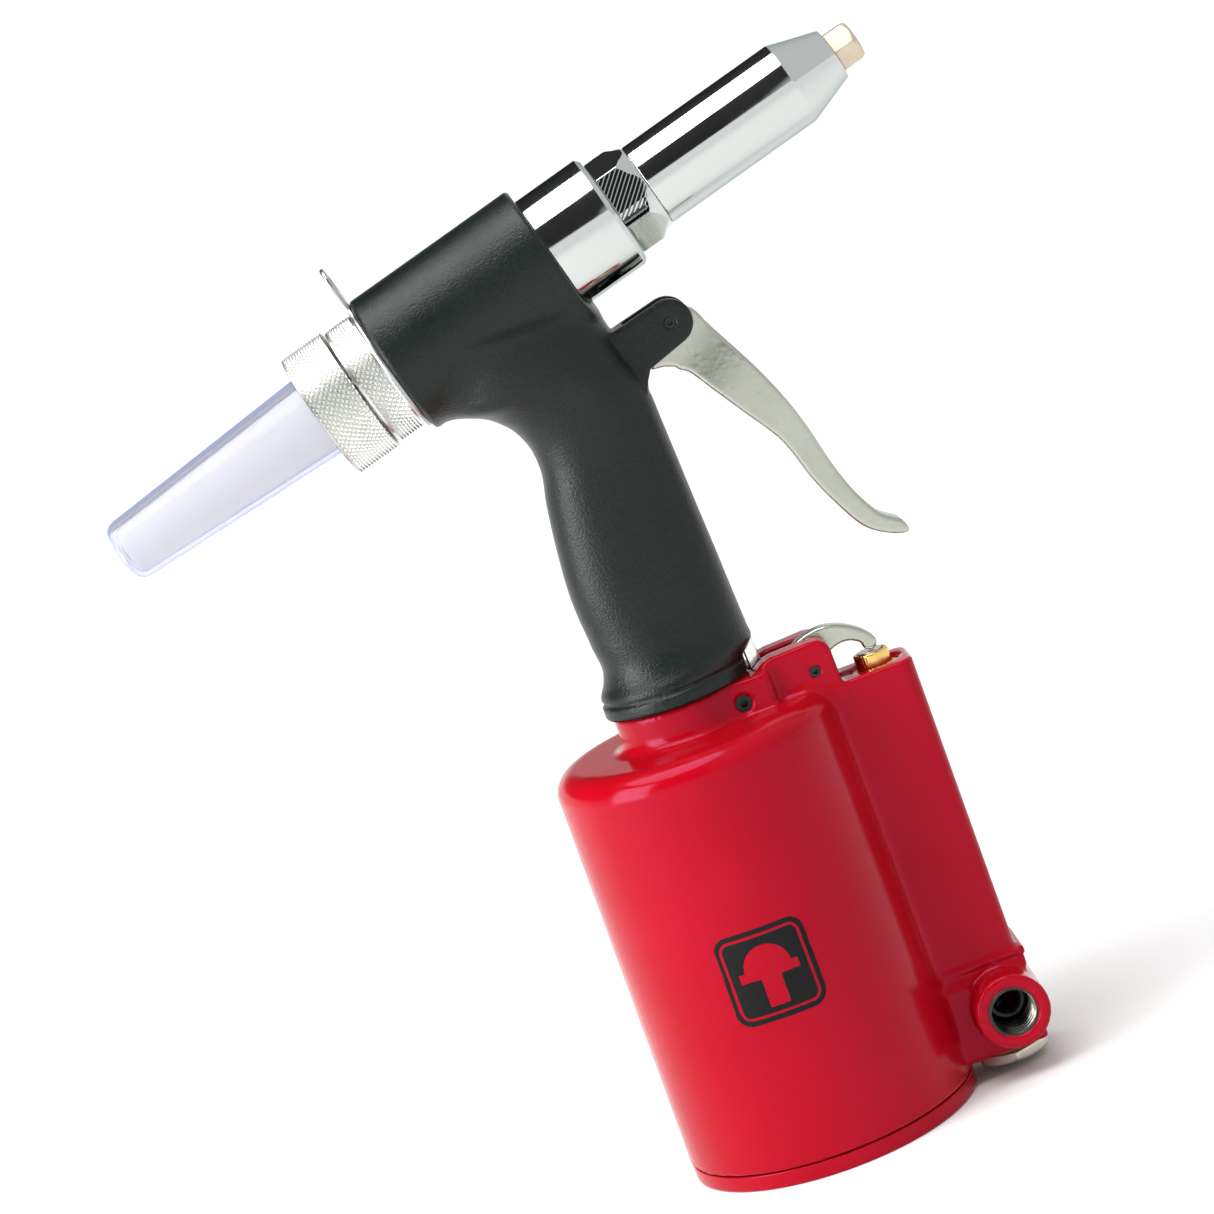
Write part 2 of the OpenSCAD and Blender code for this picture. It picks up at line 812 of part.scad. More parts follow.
module nosepiece() color([0.85, 0.8, 0.68])
    on_head()
        difference() {
            union() {
                intersection() {
                    hex_prism(s_cone_front + 0.05, s_nose_front, 10.8, false);
                    translate([0, 0, s_cone_front])
                        cylinder(h = s_nose_front - s_cone_front, r1 = 10, r2 = 4.6);
                }
                head_cyl(92.2, s_cone_front + 1, 4.5);
                head_cyl(jaw_front + 0.2, 93, case_mouth_r - gap);
            }
            head_cyl(80, 120, mandrel_r);
        }

module jaw_case() color("silver")
    on_head()
        difference() {
            head_cyl(case_rear, case_front, jaw_case_r);
            head_cyl(case_rear - eps, 60, 6);
            head_cyl(57, cone_rear, pusher_bore_r);
            translate([0, 0, cone_rear - 0.01])
                cylinder(h = case_front - cone_rear + 0.01, r1 = pusher_bore_r, r2 = case_mouth_r);
            head_cyl(case_front - 0.01, case_front + eps, case_mouth_r);
        }

module jaw_pusher() color("silver")
    on_head()
        difference() {
            union() {
                head_cyl(pusher_rear, pusher_step, pusher_bore_r - run);
                head_cyl(pusher_rear, jaw_rear - jaw_clear, pusher_nose_r);
            }
            head_cyl(60, 90, tube_in_r);
        }

module jaw_spring() color("gainsboro")
    on_head() coil(5, 0.6, 57.2, pusher_rear - 0.05, 6);

// One of three equal segments of the gripping cone
module jaw(turn) color("darkgray")
    on_head()
        rotate([0, 0, turn]) {
            front_r = case_mouth_r + cone_slope * (case_front - jaw_front) - jaw_clear;
            rear_r = case_mouth_r + cone_slope * (case_front - jaw_rear) - jaw_clear;
            far = 20;
            intersection() {
                difference() {
                    translate([0, 0, jaw_rear])
                        cylinder(h = jaw_front - jaw_rear, r1 = rear_r, r2 = front_r);
                    head_cyl(60, 100, jaw_bore_r);
                }
                translate([jaw_gap / 2 / sin(60), 0, jaw_rear - eps])
                    linear_extrude(far)
                        polygon([[0, 0], [far * cos(60), -far * sin(60)], [far, 0],
                            [far * cos(60), far * sin(60)]]);
            }
        }

module jaw_1() jaw(0);
module jaw_2() jaw(120);
module jaw_3() jaw(240);

handle_casing();
hydraulic_sleeve();
sleeve_seals();
trigger_pin();
trigger_lever();
trigger_strip();
rocker_lever();
rocker_pin();
port_plug();
air_cylinder();
base_cap();
base_cap_seal();
bumper_ring();
air_piston();
air_piston_seal();
ram_rod();
ram_nut();
ram_gland();
ram_gland_seal();
ram_seal();
valve_sleeve();
valve_sleeve_seals();
valve_spool();
valve_spool_seals();
valve_spring();
valve_bush();
valve_plug();
plug_seal();
front_gland();
gland_seal();
rod_seal();
pull_piston();
pull_piston_seal();
return_spring();
end_cap();
end_cap_seal();
hanger_plate();
collector_ring();
collector_bottle();
guide_tube();
lock_nut();
nose_housing();
nosepiece();
jaw_case();
jaw_pusher();
jaw_spring();
jaw_1();
jaw_2();
jaw_3();
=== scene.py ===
"""Looks of the pneumatic blind rivet gun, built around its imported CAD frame.

Shapes are worked out in millimetres, in the CAD frame: +Z up the air cylinder, +X to the nose.
The mesh makers turn them into metres.
"""
import json
import math

import bpy
import numpy as np
from mathutils import Matrix, Vector


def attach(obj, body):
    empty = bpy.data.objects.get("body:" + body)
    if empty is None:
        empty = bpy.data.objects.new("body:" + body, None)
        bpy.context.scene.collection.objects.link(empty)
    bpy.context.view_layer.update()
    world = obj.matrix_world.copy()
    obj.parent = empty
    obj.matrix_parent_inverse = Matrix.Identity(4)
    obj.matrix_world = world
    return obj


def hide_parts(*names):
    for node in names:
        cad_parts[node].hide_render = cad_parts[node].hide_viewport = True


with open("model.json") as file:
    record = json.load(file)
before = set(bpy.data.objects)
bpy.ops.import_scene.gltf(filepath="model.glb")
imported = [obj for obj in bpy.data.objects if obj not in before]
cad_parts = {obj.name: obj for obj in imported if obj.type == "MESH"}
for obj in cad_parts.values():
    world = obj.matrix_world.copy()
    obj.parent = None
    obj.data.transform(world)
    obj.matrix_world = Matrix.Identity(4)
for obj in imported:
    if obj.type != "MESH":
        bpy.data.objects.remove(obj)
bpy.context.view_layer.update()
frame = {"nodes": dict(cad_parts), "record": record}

MM = 0.001

# ---- Sizes that repeat the CAD design, in millimetres ----
# Head: axis, tube, and the bore with its wider seats at both ends
HEAD_TILT = math.radians(15)
HEAD_Z = 255.0
HEAD_COS, HEAD_SIN = math.cos(HEAD_TILT), math.sin(HEAD_TILT)
CASING_REAR, CASING_FRONT, HEAD_R = -43.2, 9.4, 20.8
HEAD_BORE_R, SEAT_R, REAR_SEAT, FRONT_SEAT = 15.0, 16.5, -37.0, 2.0
# Grip, the bead that ends it, and the line of its front edge
GRIP_BOTTOM, GRIP_TOP = 131.5, 242.0
BEAD_R, BEAD_TOP = 20.75, 135.5
FRONT_X, FRONT_Z, FRONT_TILT = 25.0, 138.9, math.radians(2.43)
SLEEVE_HOLE_R = 9.55
# Trigger, rocker and the arms that reach into the strip
TRIGGER_X, TRIGGER_Z = 32.8, 229.3
TRIGGER_PIVOT = (TRIGGER_X, TRIGGER_Z)
ROCKER_X = 37.4
ROCKER_PIVOT = (ROCKER_X, 126.2)
TRIGGER_TIP, ROCKER_TIP = (19.5, 221.8), (23.2, 127.6)
ARM_R, ARM_HALF = 1.5, 1.7
EAR_R, EAR_HALF, EAR_SLOT = 6.4, 7.5, 3.9
EAR_HOLE_R, LEVER_HOLE_R, CHEEK_HOLE_R = 1.55, 1.56, 1.6
# Air cylinder: its wall leans in by 1 mm in 110 mm
WALL_FOOT, WALL_R, WALL_DRAFT, WALL_TOP = 5.0, 42.0, 1 / 110, 121.3
AIR_BORE_R, AIR_BORE_TOP = 38.4, 108.0
NECK_R, NECK_TOP = 19.0, 131.44
LUG_HALF, CHEEK_HALF = 14.5, 11.4
PORT, PORT_R, PORT_DEPTH = (16.0, 125.3), 2.4, 7.0
# Valve column, its plug and the air inlet
VALVE_X, COLUMN_TOP = 54.0, 120.5
COLUMN_BORE_R, PLUG_SEAT_R, PLUG_SEAT_TOP = 7.05, 8.0, 14.0
PLUG_FLATS, PLUG_LOW, PLUG_HIGH = 19.5, 1.8, 5.2
INLET_X, INLET_Z, INLET_FACE = 56.3, 19.7, -22.8
INLET_DEPTH, THREAD_PITCH = 14.0, 2.2
BOSS_R, INLET_R, PASSAGE_R = 10.4, 6.9, 3.2
# Nut, nosepiece and hanger
NUT_TURN, NUT_FLATS, NUT_BORE_R = math.radians(-12), 25.0, 10.95
NUT_REAR, NUT_FRONT = 30.14, 41.3
TIP_FLATS, TIP_REAR, TIP_FRONT, MANDREL_R = 10.8, 102.6, 110.0, 1.7
HANGER_PLACE, HANGER_THICK, HANGER_R, HANGER_HOLE_R = -43.85, 1.2, 19.0, 16.53
EYE_DOWN, EYE_RIM_R, EYE_R = -27.3, 5.2, 2.6


# ---- Signed distance helpers: each takes arrays in millimetres, negative inside ----

def split(p):
    """X, Y and Z of an array of points."""
    return p[..., 0], p[..., 1], p[..., 2]


def round_max(a, b, r):
    """Intersection of two solids whose shared edge is rounded to radius r."""
    u, v = np.maximum(a + r, 0), np.maximum(b + r, 0)
    return np.sqrt(u * u + v * v) - r + np.minimum(np.maximum(a + r, b + r), 0)


def fillet_min(a, b, r):
    """Union of two solids whose meeting line gets a fillet of radius r."""
    return -round_max(-a, -b, r)


def cut(a, b, r=0.5):
    """Solid a less solid b, with the new edge rounded."""
    return round_max(a, -b, r)


def rod(radial, along, r, low, high, edge=0.5):
    """Cylinder of radius r between two places on its axis, with rounded rims."""
    return round_max(radial - r, np.abs(along - (low + high) / 2) - (high - low) / 2, edge)


def cross_bar(x, z, centre, r):
    """Round bar, or hole, that runs along Y."""
    return np.hypot(x - centre[0], z - centre[1]) - r


def block(p, low, high, edge=0.8):
    """Box with rounded edges, or a rounded rectangle where the points have two numbers."""
    low, high = np.array(low, float), np.array(high, float)
    q = np.abs(p - (low + high) / 2) - (high - low) / 2 + edge
    outside = np.sqrt((np.maximum(q, 0) ** 2).sum(-1))
    return outside + np.minimum(q.max(-1), 0) - edge


def polygon(x, z, points):
    """Distance to a closed outline in the X and Z plane."""
    pts = np.array(points, float)
    best = np.full(x.shape, 1e9)
    inside = np.zeros(x.shape, bool)
    for (ax, az), (bx, bz) in zip(pts, np.roll(pts, -1, axis=0)):
        ex, ez = bx - ax, bz - az
        wx, wz = x - ax, z - az
        t = np.clip((wx * ex + wz * ez) / (ex * ex + ez * ez), 0, 1)
        best = np.minimum(best, (wx - t * ex) ** 2 + (wz - t * ez) ** 2)
        crosses = (az > z) != (bz > z)
        if ez:
            inside ^= crosses & (wx < ex * wz / ez)
    return np.where(inside, -1, 1) * np.sqrt(best)


def spline(points, steps=6):
    """Closed curve through the points, rounded between them."""
    p = np.array(points, float)
    n = len(p)
    out = []
    for i in range(n):
        a, b, c, d = p[i - 1], p[i], p[(i + 1) % n], p[(i + 2) % n]
        for k in range(steps):
            t = k / steps
            out.append(0.5 * (2 * b + (c - a) * t + (2 * a - 5 * b + 4 * c - d) * t * t
                              + (3 * b - a - 3 * c + d) * t ** 3))
    return np.array(out)


def hexagon(u, v, flats, turn=0.0):
    """Distance to a hexagon across its flats; at turn 0 two flats face +v and -v."""
    far = np.full(u.shape, -1e9)
    for k in range(3):
        a = turn + math.pi / 2 + k * math.pi / 3
        far = np.maximum(far, np.abs(u * math.cos(a) + v * math.sin(a)))
    return far - flats / 2


def hex_bar(u, v, along, flats, turn, low, high, edge):
    """Hexagonal bar between two places on its axis, with rounded edges."""
    ends = np.abs(along - (high + low) / 2) - (high - low) / 2
    return round_max(hexagon(u, v, flats, turn), ends, edge)


def cone(radial, along, r, place, outward, forward):
    """Cone of radius r at a place on its axis. The last two numbers are its normal's parts."""
    return (radial - r) * outward + (along - place) * forward


def head_axes(p):
    """Splits points into radius, downward, sideways and axial places about the head's axis."""
    x, y, z = split(p)
    up = z - HEAD_Z
    down = x * HEAD_SIN - up * HEAD_COS
    along = x * HEAD_COS + up * HEAD_SIN
    return np.hypot(down, y), down, y, along


def mesh_object(name, verts, faces):
    """Smooth object with that mesh, in metres."""
    mesh = bpy.data.meshes.new(name)
    mesh.from_pydata([tuple(v) for v in verts], [], [tuple(f) for f in faces])
    mesh.polygons.foreach_set("use_smooth", [True] * len(mesh.polygons))
    mesh.update()
    obj = bpy.data.objects.new(name, mesh)
    bpy.context.collection.objects.link(obj)
    return obj


# Corners of a grid cell
CORNERS = [(i, j, k) for i in (0, 1) for j in (0, 1) for k in (0, 1)]


def cell_points(value):
    """Finds the grid cells that the surface crosses. Gives each one's number, and the mean of the
    crossings on its edges, in grid steps."""
    inside = value < 0
    cells = np.array(value.shape) - 1

    def at(array, c):
        """Each cell's value at one of its corners."""
        return array[c[0]:c[0] + cells[0], c[1]:c[1] + cells[1], c[2]:c[2] + cells[2]]

    filled = sum(at(inside, c).astype(int) for c in CORNERS)
    active = (filled > 0) & (filled < 8)
    index = np.full(cells, -1)
    index[active] = np.arange(active.sum())
    total = np.zeros((active.sum(), 3))
    hits = np.zeros(active.sum())
    for a in CORNERS:
        for axis in range(3):
            if a[axis]:
                continue
            b = tuple(1 if i == axis else a[i] for i in range(3))
            va, vb = at(value, a)[active], at(value, b)[active]
            crossing = (va < 0) != (vb < 0)
            t = np.where(crossing, va / np.where(crossing, va - vb, 1), 0)
            place = np.tile(np.array(a, float), (len(t), 1))
            place[:, axis] = t
            total += place * crossing[:, None]
            hits += crossing
    return index, np.argwhere(active) + total / hits[:, None]


def cell_faces(inside, index):
    """One quad for each grid edge that the surface crosses, between the four cells round it."""
    faces = []
    for axis in range(3):
        u, v = (axis + 1) % 3, (axis + 2) % 3
        lo = [slice(1, -1)] * 3
        hi = [slice(1, -1)] * 3
        lo[axis], hi[axis] = slice(0, -1), slice(1, None)
        first, second = inside[tuple(lo)], inside[tuple(hi)]
        base = np.argwhere(first != second) + 1
        base[:, axis] -= 1
        ring = []
        for du, dv in ((-1, -1), (0, -1), (0, 0), (-1, 0)):
            cell = base.copy()
            cell[:, u] += du
            cell[:, v] += dv
            ring.append(index[cell[:, 0], cell[:, 1], cell[:, 2]])
        quad = np.stack(ring, -1)
        leaving = first[first != second]
        quad[~leaving] = quad[~leaving][:, ::-1]
        faces.append(quad)
    return np.concatenate(faces)


def settle(verts, solid, step, rounds=4, nudge=0.02):
    """Moves points onto the surface along its slope, by at most half a grid step a round."""
    for _ in range(rounds):
        slope = np.stack([(solid(verts + nudge * e) - solid(verts - nudge * e)) / (2 * nudge)
                          for e in np.eye(3)], -1)
        size = np.maximum((slope ** 2).sum(-1), 0.05)
        move = -solid(verts)[:, None] * slope / size[:, None]
        reach = np.linalg.norm(move, axis=-1, keepdims=True)
        verts = verts + move * np.minimum(1, 0.5 * step / np.maximum(reach, 1e-9))
    return verts


def skin(name, solid, low, high, step):
    """Meshes a signed distance function: a net of cells, whose points are then moved onto the
    surface, so that cylinders and fillets come out true."""
    low, high = np.array(low, float) - 1.5 * step, np.array(high, float) + 1.5 * step
    count = np.ceil((high - low) / step).astype(int) + 1
    axes = [low[i] + step * np.arange(count[i]) for i in range(3)]
    plane = np.stack(np.meshgrid(axes[1], axes[2], indexing="ij"), -1)
    value = np.empty(count)
    for i, x in enumerate(axes[0]):
        value[i] = solid(np.concatenate([np.full(plane.shape[:2] + (1,), x), plane], -1))
    index, points = cell_points(value)
    verts = settle(low + step * points, solid, step)
    return mesh_object(name, verts * MM, cell_faces(value < 0, index))


def to_head(down, side, along):
    """A point about the head's axis, in metres in the CAD frame."""
    return (MM * (down * HEAD_SIN + along * HEAD_COS), MM * side,
            MM * (HEAD_Z - down * HEAD_COS + along * HEAD_SIN))


def upright(x, y):
    """Places points about a vertical axis through x, y."""
    return lambda a, b, along: (MM * (x + a), MM * (y + b), MM * along)


def along_y(x, z, sign=1):
    """Places points about an axis that runs along Y through x, z."""
    return lambda a, b, along: (MM * (x + a), MM * along, MM * (z + sign * b))


def rounded(points, r, steps=4):
    """Rounds the corners of a closed outline. A point may hold its own radius as a third number."""
    out = []
    n = len(points)
    for i in range(n):
        here = Vector(points[i][:2])
        radius = points[i][2] if len(points[i]) > 2 else r
        back = Vector(points[i - 1][:2]) - here
        ahead = Vector(points[(i + 1) % n][:2]) - here
        too_short = min(back.length, ahead.length) < 1e-6
        if radius <= 0 or too_short or back.angle(ahead) > math.radians(178):
            out.append(here)
            continue
        angle = back.angle(ahead)
        reach = min(radius / math.tan(angle / 2), 0.48 * back.length, 0.48 * ahead.length)
        a, b = here + back.normalized() * reach, here + ahead.normalized() * reach
        for k in range(steps + 1):
            t = k / steps
            out.append((1 - t) ** 2 * a + 2 * t * (1 - t) * here + t * t * b)
    return out


def lathe(name, outline, place=to_head, segments=160):
    """Turns a closed outline of (along, radius) points about an axis."""
    verts, faces = [], []
    n = len(outline)
    for i in range(segments):
        a = 2 * math.pi * i / segments
        verts += [place(p[1] * math.cos(a), p[1] * math.sin(a), p[0]) for p in outline]
    for i in range(segments):
        j = (i + 1) % segments
        for k in range(n):
            m = (k + 1) % n
            faces.append((i * n + k, i * n + m, j * n + m, j * n + k))
    return mesh_object(name, verts, faces)


def crisp(obj, degrees=35):
    """Keeps edges sharper than the angle hard, and the rest smooth."""
    mesh = obj.data
    mesh.update()
    limit = math.radians(degrees)
    normals = [p.normal for p in mesh.polygons]
    beside = {}
    for p in mesh.polygons:
        for key in p.edge_keys:
            beside.setdefault(key, []).append(p.index)
    for e in mesh.edges:
        pair = beside.get(tuple(sorted(e.vertices)), [])
        e.use_edge_sharp = len(pair) == 2 and normals[pair[0]].angle(normals[pair[1]], 0) > limit


# ---- Solids ----

def track(z, rows, field):
    """Smooth curve through one field of a table whose first field is height."""
    heights = np.array([r[0] for r in rows], float)
    values = np.array([r[field] for r in rows], float)
    slopes = np.gradient(values, heights)
    i = np.clip(np.searchsorted(heights, z) - 1, 0, len(rows) - 2)
    gap = heights[i + 1] - heights[i]
    t = np.clip((z - heights[i]) / gap, 0, 1)
    a, b, sa, sb = values[i], values[i + 1], slopes[i] * gap, slopes[i + 1] * gap
    return (a * (1 + 2 * t) * (1 - t) ** 2 + sa * t * (1 - t) ** 2
            + b * t * t * (3 - 2 * t) + sb * t * t * (t - 1))


# Grip sections: height, rear, front, half width, squareness
GRIP = [
    (130, -20.2, 20.6, 20.3, 2), (135.6, -20.4, 21.4, 20.3, 2), (138, -20.1, 23, 20.1, 2),
    (140.5, -18.6, 24.9, 18.9, 2.1), (144, -17.3, 24.8, 17.5, 2.25), (152, -17.7, 24.4, 16.4, 2.4),
    (166, -18.5, 23.8, 15.8, 2.5), (181, -17.4, 23.1, 15.2, 2.5), (193, -15.8, 22.6, 15, 2.5),
    (204, -13.9, 22.1, 15.2, 2.5), (212, -15.2, 21.8, 16, 2.4), (218, -18.9, 21.4, 17, 2.3),
    (222, -24, 20.6, 18, 2.2), (224.6, -30, 19.6, 18.8, 2.2), (230, -34, 18, 19.4, 2.2),
    (242, -35, 15, 19.6, 2.2),
]


def front_axes(p):
    """Places ahead of the grip's front edge line, which leans back a little, and up along it."""
    x, z = p[..., 0] - FRONT_X, p[..., 2] - FRONT_Z
    ahead = x * math.cos(FRONT_TILT) + z * math.sin(FRONT_TILT)
    up = z * math.cos(FRONT_TILT) - x * math.sin(FRONT_TILT) + FRONT_Z
    return ahead, up


def ears(x, y, z):
    """The trigger's two ears, still in one block."""
    outline = [(6, 214), (20.5, 214), (23.6, 219.2), (TRIGGER_X + 1.9, TRIGGER_Z - 6.1),
               (TRIGGER_X - 1.4, TRIGGER_Z + 6.24), (17, 232), (14, 232.6), (6, 238)]
    ear = np.minimum(polygon(x, z, outline), cross_bar(x, z, TRIGGER_PIVOT, EAR_R))
    return round_max(ear, np.abs(y) - EAR_HALF, 0.9)


def casing_holes(p):
    """Hollows of the casing, each with the rounding of its edge."""
    x, y, z = split(p)
    radial, _, _, along = head_axes(p)
    ahead, _ = front_axes(p)
    # Channel that the strip runs in, and the notch that shows the strip's foot
    depth = 4.4
    channel = np.maximum(np.maximum(-depth - ahead, np.abs(y) - 3.1), z - 231)
    notch = np.maximum(-depth - ahead, z - (137.2 + 0.42 * (ahead + depth)))
    slot_outline = [(15.3, 217), (20, 213), (50, 213), (50, 245), (24, 240), (19.5, 229.5),
                    (15.3, 226.5)]
    slot = np.maximum(polygon(x, z, slot_outline), np.abs(y) - EAR_SLOT)
    seats = np.maximum(radial - SEAT_R, -np.maximum(along - FRONT_SEAT, REAR_SEAT - along))
    bore = np.minimum(radial - HEAD_BORE_R, seats)
    sleeve_hole = np.maximum(np.hypot(x, y) - SLEEVE_HOLE_R, z - 228)
    pin_hole = cross_bar(x, z, TRIGGER_PIVOT, EAR_HOLE_R)
    return [(channel, 0.4), (notch, 0.4), (slot, 0.5), (bore, 0.3), (sleeve_hole, 0.3),
            (pin_hole, 0.25)]


def casing_solid(p):
    """Grip, bead, head tube and ears."""
    x, y, z = split(p)
    radial, _, _, along = head_axes(p)
    rear, front, half, power = (track(z, GRIP, k) for k in (1, 2, 3, 4))
    middle, reach = (front + rear) / 2, (front - rear) / 2
    ring = (np.abs((x - middle) / reach) ** power + np.abs(y / half) ** power) ** (1 / power)
    grip = (ring - 1) * np.minimum(reach, half)
    grip = round_max(grip, np.maximum(GRIP_BOTTOM - z, z - GRIP_TOP), 1.0)
    # Crease above the bead
    grip = grip + 0.5 * np.exp(-((z - BEAD_TOP - 0.5) / 0.55) ** 2)
    bead = rod(np.hypot(x, y), z, BEAD_R, GRIP_BOTTOM, BEAD_TOP, 0.9)
    tube = rod(radial, along, HEAD_R, CASING_REAR, CASING_FRONT, 1.2)
    body = fillet_min(fillet_min(grip, tube, 3.2), ears(x, y, z), 1.3)
    body = np.minimum(body, bead)
    for hole, edge in casing_holes(p):
        body = cut(body, hole, edge)
    return body


def wall_radius(z):
    """Outer radius of the air cylinder at a height."""
    return WALL_R - (z - WALL_FOOT) * WALL_DRAFT


def column(p):
    """Valve column, with rounded corners."""
    z = p[..., 2]
    plan = block(p[..., :2], (30, -CHEEK_HALF), (63.9, CHEEK_HALF), 4.0)
    return round_max(plan, np.maximum(26 - z, z - COLUMN_TOP), 0.7)


def column_foot(p):
    """Wider foot of the column, with the inlet's boss."""
    x, y, z = split(p)
    foot = block(p, (34, -13.4, 6.6), (64, 13.4, 28.6), 1.3)
    boss = rod(np.hypot(x - INLET_X, z - INLET_Z), y, BOSS_R, INLET_FACE, 8, 0.6)
    return fillet_min(foot, boss, 1.2)


def column_lip(p):
    """Two ridges across the column, above its foot."""
    return np.minimum(block(p, (38, -12.3, 28), (65.0, 12.3, 31.1), 0.7),
                      block(p, (38, -12.1, 31.0), (65.7, 12.1, 33.6), 0.9))


def cheeks(x, y, z):
    """Block that holds the rocker's pin, with a round front corner."""
    corner_x, corner_z, r = 39.3, 130.2, 4.1
    arc = [math.radians(t) for t in range(75, -1, -15)]
    outline = ([(24, 116), (24, 132.6), (25.4, 133.5), (27, 133.9), (38.8, 134.3)]
               + [(corner_x + r * math.cos(t), corner_z + r * math.sin(t)) for t in arc]
               + [(43.6, 116)])
    return round_max(polygon(x, z, outline), np.abs(y) - CHEEK_HALF, 0.8)


def cylinder_holes(x, y, z):
    """Hollows of the red casting, each with the rounding of its edge."""
    radial = np.hypot(x, y)
    air_bore = np.maximum(radial - AIR_BORE_R, np.maximum(z - AIR_BORE_TOP, -z))
    sleeve_hole = np.maximum(radial - SLEEVE_HOLE_R, 100 - z)
    off_valve = np.hypot(x - VALVE_X, y)
    valve_bore = np.minimum(np.maximum(off_valve - COLUMN_BORE_R, 10 - z),
                            np.maximum(off_valve - PLUG_SEAT_R, z - PLUG_SEAT_TOP))
    off_inlet = np.hypot(x - INLET_X, z - INLET_Z)
    inlet = np.minimum(np.maximum(off_inlet - INLET_R, y - (INLET_FACE + INLET_DEPTH)),
                       np.maximum(off_inlet - PASSAGE_R, y))
    slot_outline = [(20.8, 122.6), (28, 120.8), (34, 119.6), (48, 119.6), (48, 140), (20.8, 140)]
    rocker_slot = np.maximum(polygon(x, z, slot_outline), np.abs(y) - 3.05)
    rocker_hole = cross_bar(x, z, ROCKER_PIVOT, CHEEK_HOLE_R)
    port_hole = np.maximum(cross_bar(x, z, PORT, PORT_R), y + LUG_HALF - PORT_DEPTH)
    return [(air_bore, 0.3), (sleeve_hole, 0.3), (valve_bore, 0.3), (inlet, 0.35),
            (rocker_slot, 0.4), (rocker_hole, 0.2), (port_hole, 0.2)]


def cylinder_solid(p):
    """Red casting: drum, neck, lug, cheeks and valve column."""
    x, y, z = split(p)
    radial = np.hypot(x, y)
    drum = round_max(radial - wall_radius(z), z - WALL_TOP, 6.5)
    drum = round_max(drum, WALL_FOOT - z, 0.35)
    neck = np.maximum(radial - NECK_R, z - NECK_TOP)
    lug = block(p, (0, -LUG_HALF, 112), (24.8, LUG_HALF, NECK_TOP), 1.1)
    body = fillet_min(drum, neck, 3.5)
    body = fillet_min(body, lug, 2.2)
    body = fillet_min(body, fillet_min(column(p), cheeks(x, y, z), 1.2), 3.2)
    body = fillet_min(body, column_lip(p), 0.8)
    body = fillet_min(body, column_foot(p), 1.6)
    for hole, edge in cylinder_holes(x, y, z):
        body = cut(body, hole, edge)
    return body


def arm(x, y, z, tip, root_low, root_high):
    """Thin arm of a lever, whose round tip sits in a window of the strip."""
    outline = [(tip[0], tip[1] + ARM_R), (tip[0], tip[1] - ARM_R), root_low, root_high]
    shape = np.minimum(cross_bar(x, z, tip, ARM_R), polygon(x, z, outline))
    return round_max(shape, np.abs(y) - ARM_HALF, 0.3)


TRIGGER_CURVE = spline([
    (39.2, 231.2), (43.2, 224.1), (47.3, 216.5), (51.5, 208.2), (55.6, 198.6), (58.7, 188.9),
    (61, 179.3), (64.1, 169.6), (68.4, 161.2), (71.6, 158.2), (74.2, 156.4), (75.4, 153.2),
    (73.6, 152.5), (68.4, 154.6), (63.4, 158.6), (58.7, 166.8), (55, 175.1), (52.2, 184),
    (49.4, 190.3), (43.3, 199.4), (37.8, 207.7), (33.4, 214.3), (30.4, 216.8),
    (TRIGGER_X - 2.4, TRIGGER_Z - 6.4), TRIGGER_PIVOT], 4)


def trigger_solid(p):
    """Cast lever: narrow where it passes between the ears, then widening along its length."""
    x, y, z = split(p)
    root_outline = [(TRIGGER_X + 5.6, TRIGGER_Z + 1), (41.4, 225), (42, 214), (33.4, 214.3),
                    (30.4, 217), (27.4, 218.1), (24, 218.4), (23.9, 219.5), (25.6, 221.4),
                    (TRIGGER_X - 5, TRIGGER_Z - 2.8)]
    outline = np.minimum(polygon(x, z, TRIGGER_CURVE), polygon(x, z, root_outline))
    outline = np.minimum(outline, cross_bar(x, z, TRIGGER_PIVOT, EAR_R - 0.6))
    narrow_half, wide_half, widen_from, widen_over = 3.6, 5.5, 7.0, 18.0
    lean = math.radians(58)
    reach = (x - TRIGGER_X) * math.cos(lean) - (z - TRIGGER_Z) * math.sin(lean)
    t = np.clip((reach - widen_from) / widen_over, 0, 1)
    half = narrow_half + (wide_half - narrow_half) * t * t * (3 - 2 * t)
    body = round_max(outline, np.abs(y) - half, 1.1)
    body = np.minimum(body, arm(x, y, z, TRIGGER_TIP, (28, 221.2), (28, 225.4)))
    return cut(body, cross_bar(x, z, TRIGGER_PIVOT, LEVER_HOLE_R), 0.2)


ROCKER_CURVE = spline([
    (24, 128.6), (29.4, 131.2), (ROCKER_X, 134.8), (43.9, 135.6), (49.1, 134.1), (53.8, 131.1),
    (56.6, 127.6), (56.2, 125.5), (54.5, 124.85), (52.7, 125.8), (52.2, 127.6), (49.5, 129.2),
    (46, 129.2), (42.5, 127.4), (39.6, 122.8), (35.2, 122.4), (29, 124.6), (24, 126.5)], 5)


def rocker_solid(p):
    """Curved lever that presses the valve's button."""
    x, y, z = split(p)
    body = np.maximum(polygon(x, z, ROCKER_CURVE), 27.4 - x)
    body = round_max(body, np.abs(y) - 2.6, 0.9)
    body = np.minimum(body, arm(x, y, z, ROCKER_TIP, (28.5, 125.6), (28.5, 130.2)))
    return cut(body, cross_bar(x, z, ROCKER_PIVOT, LEVER_HOLE_R), 0.2)


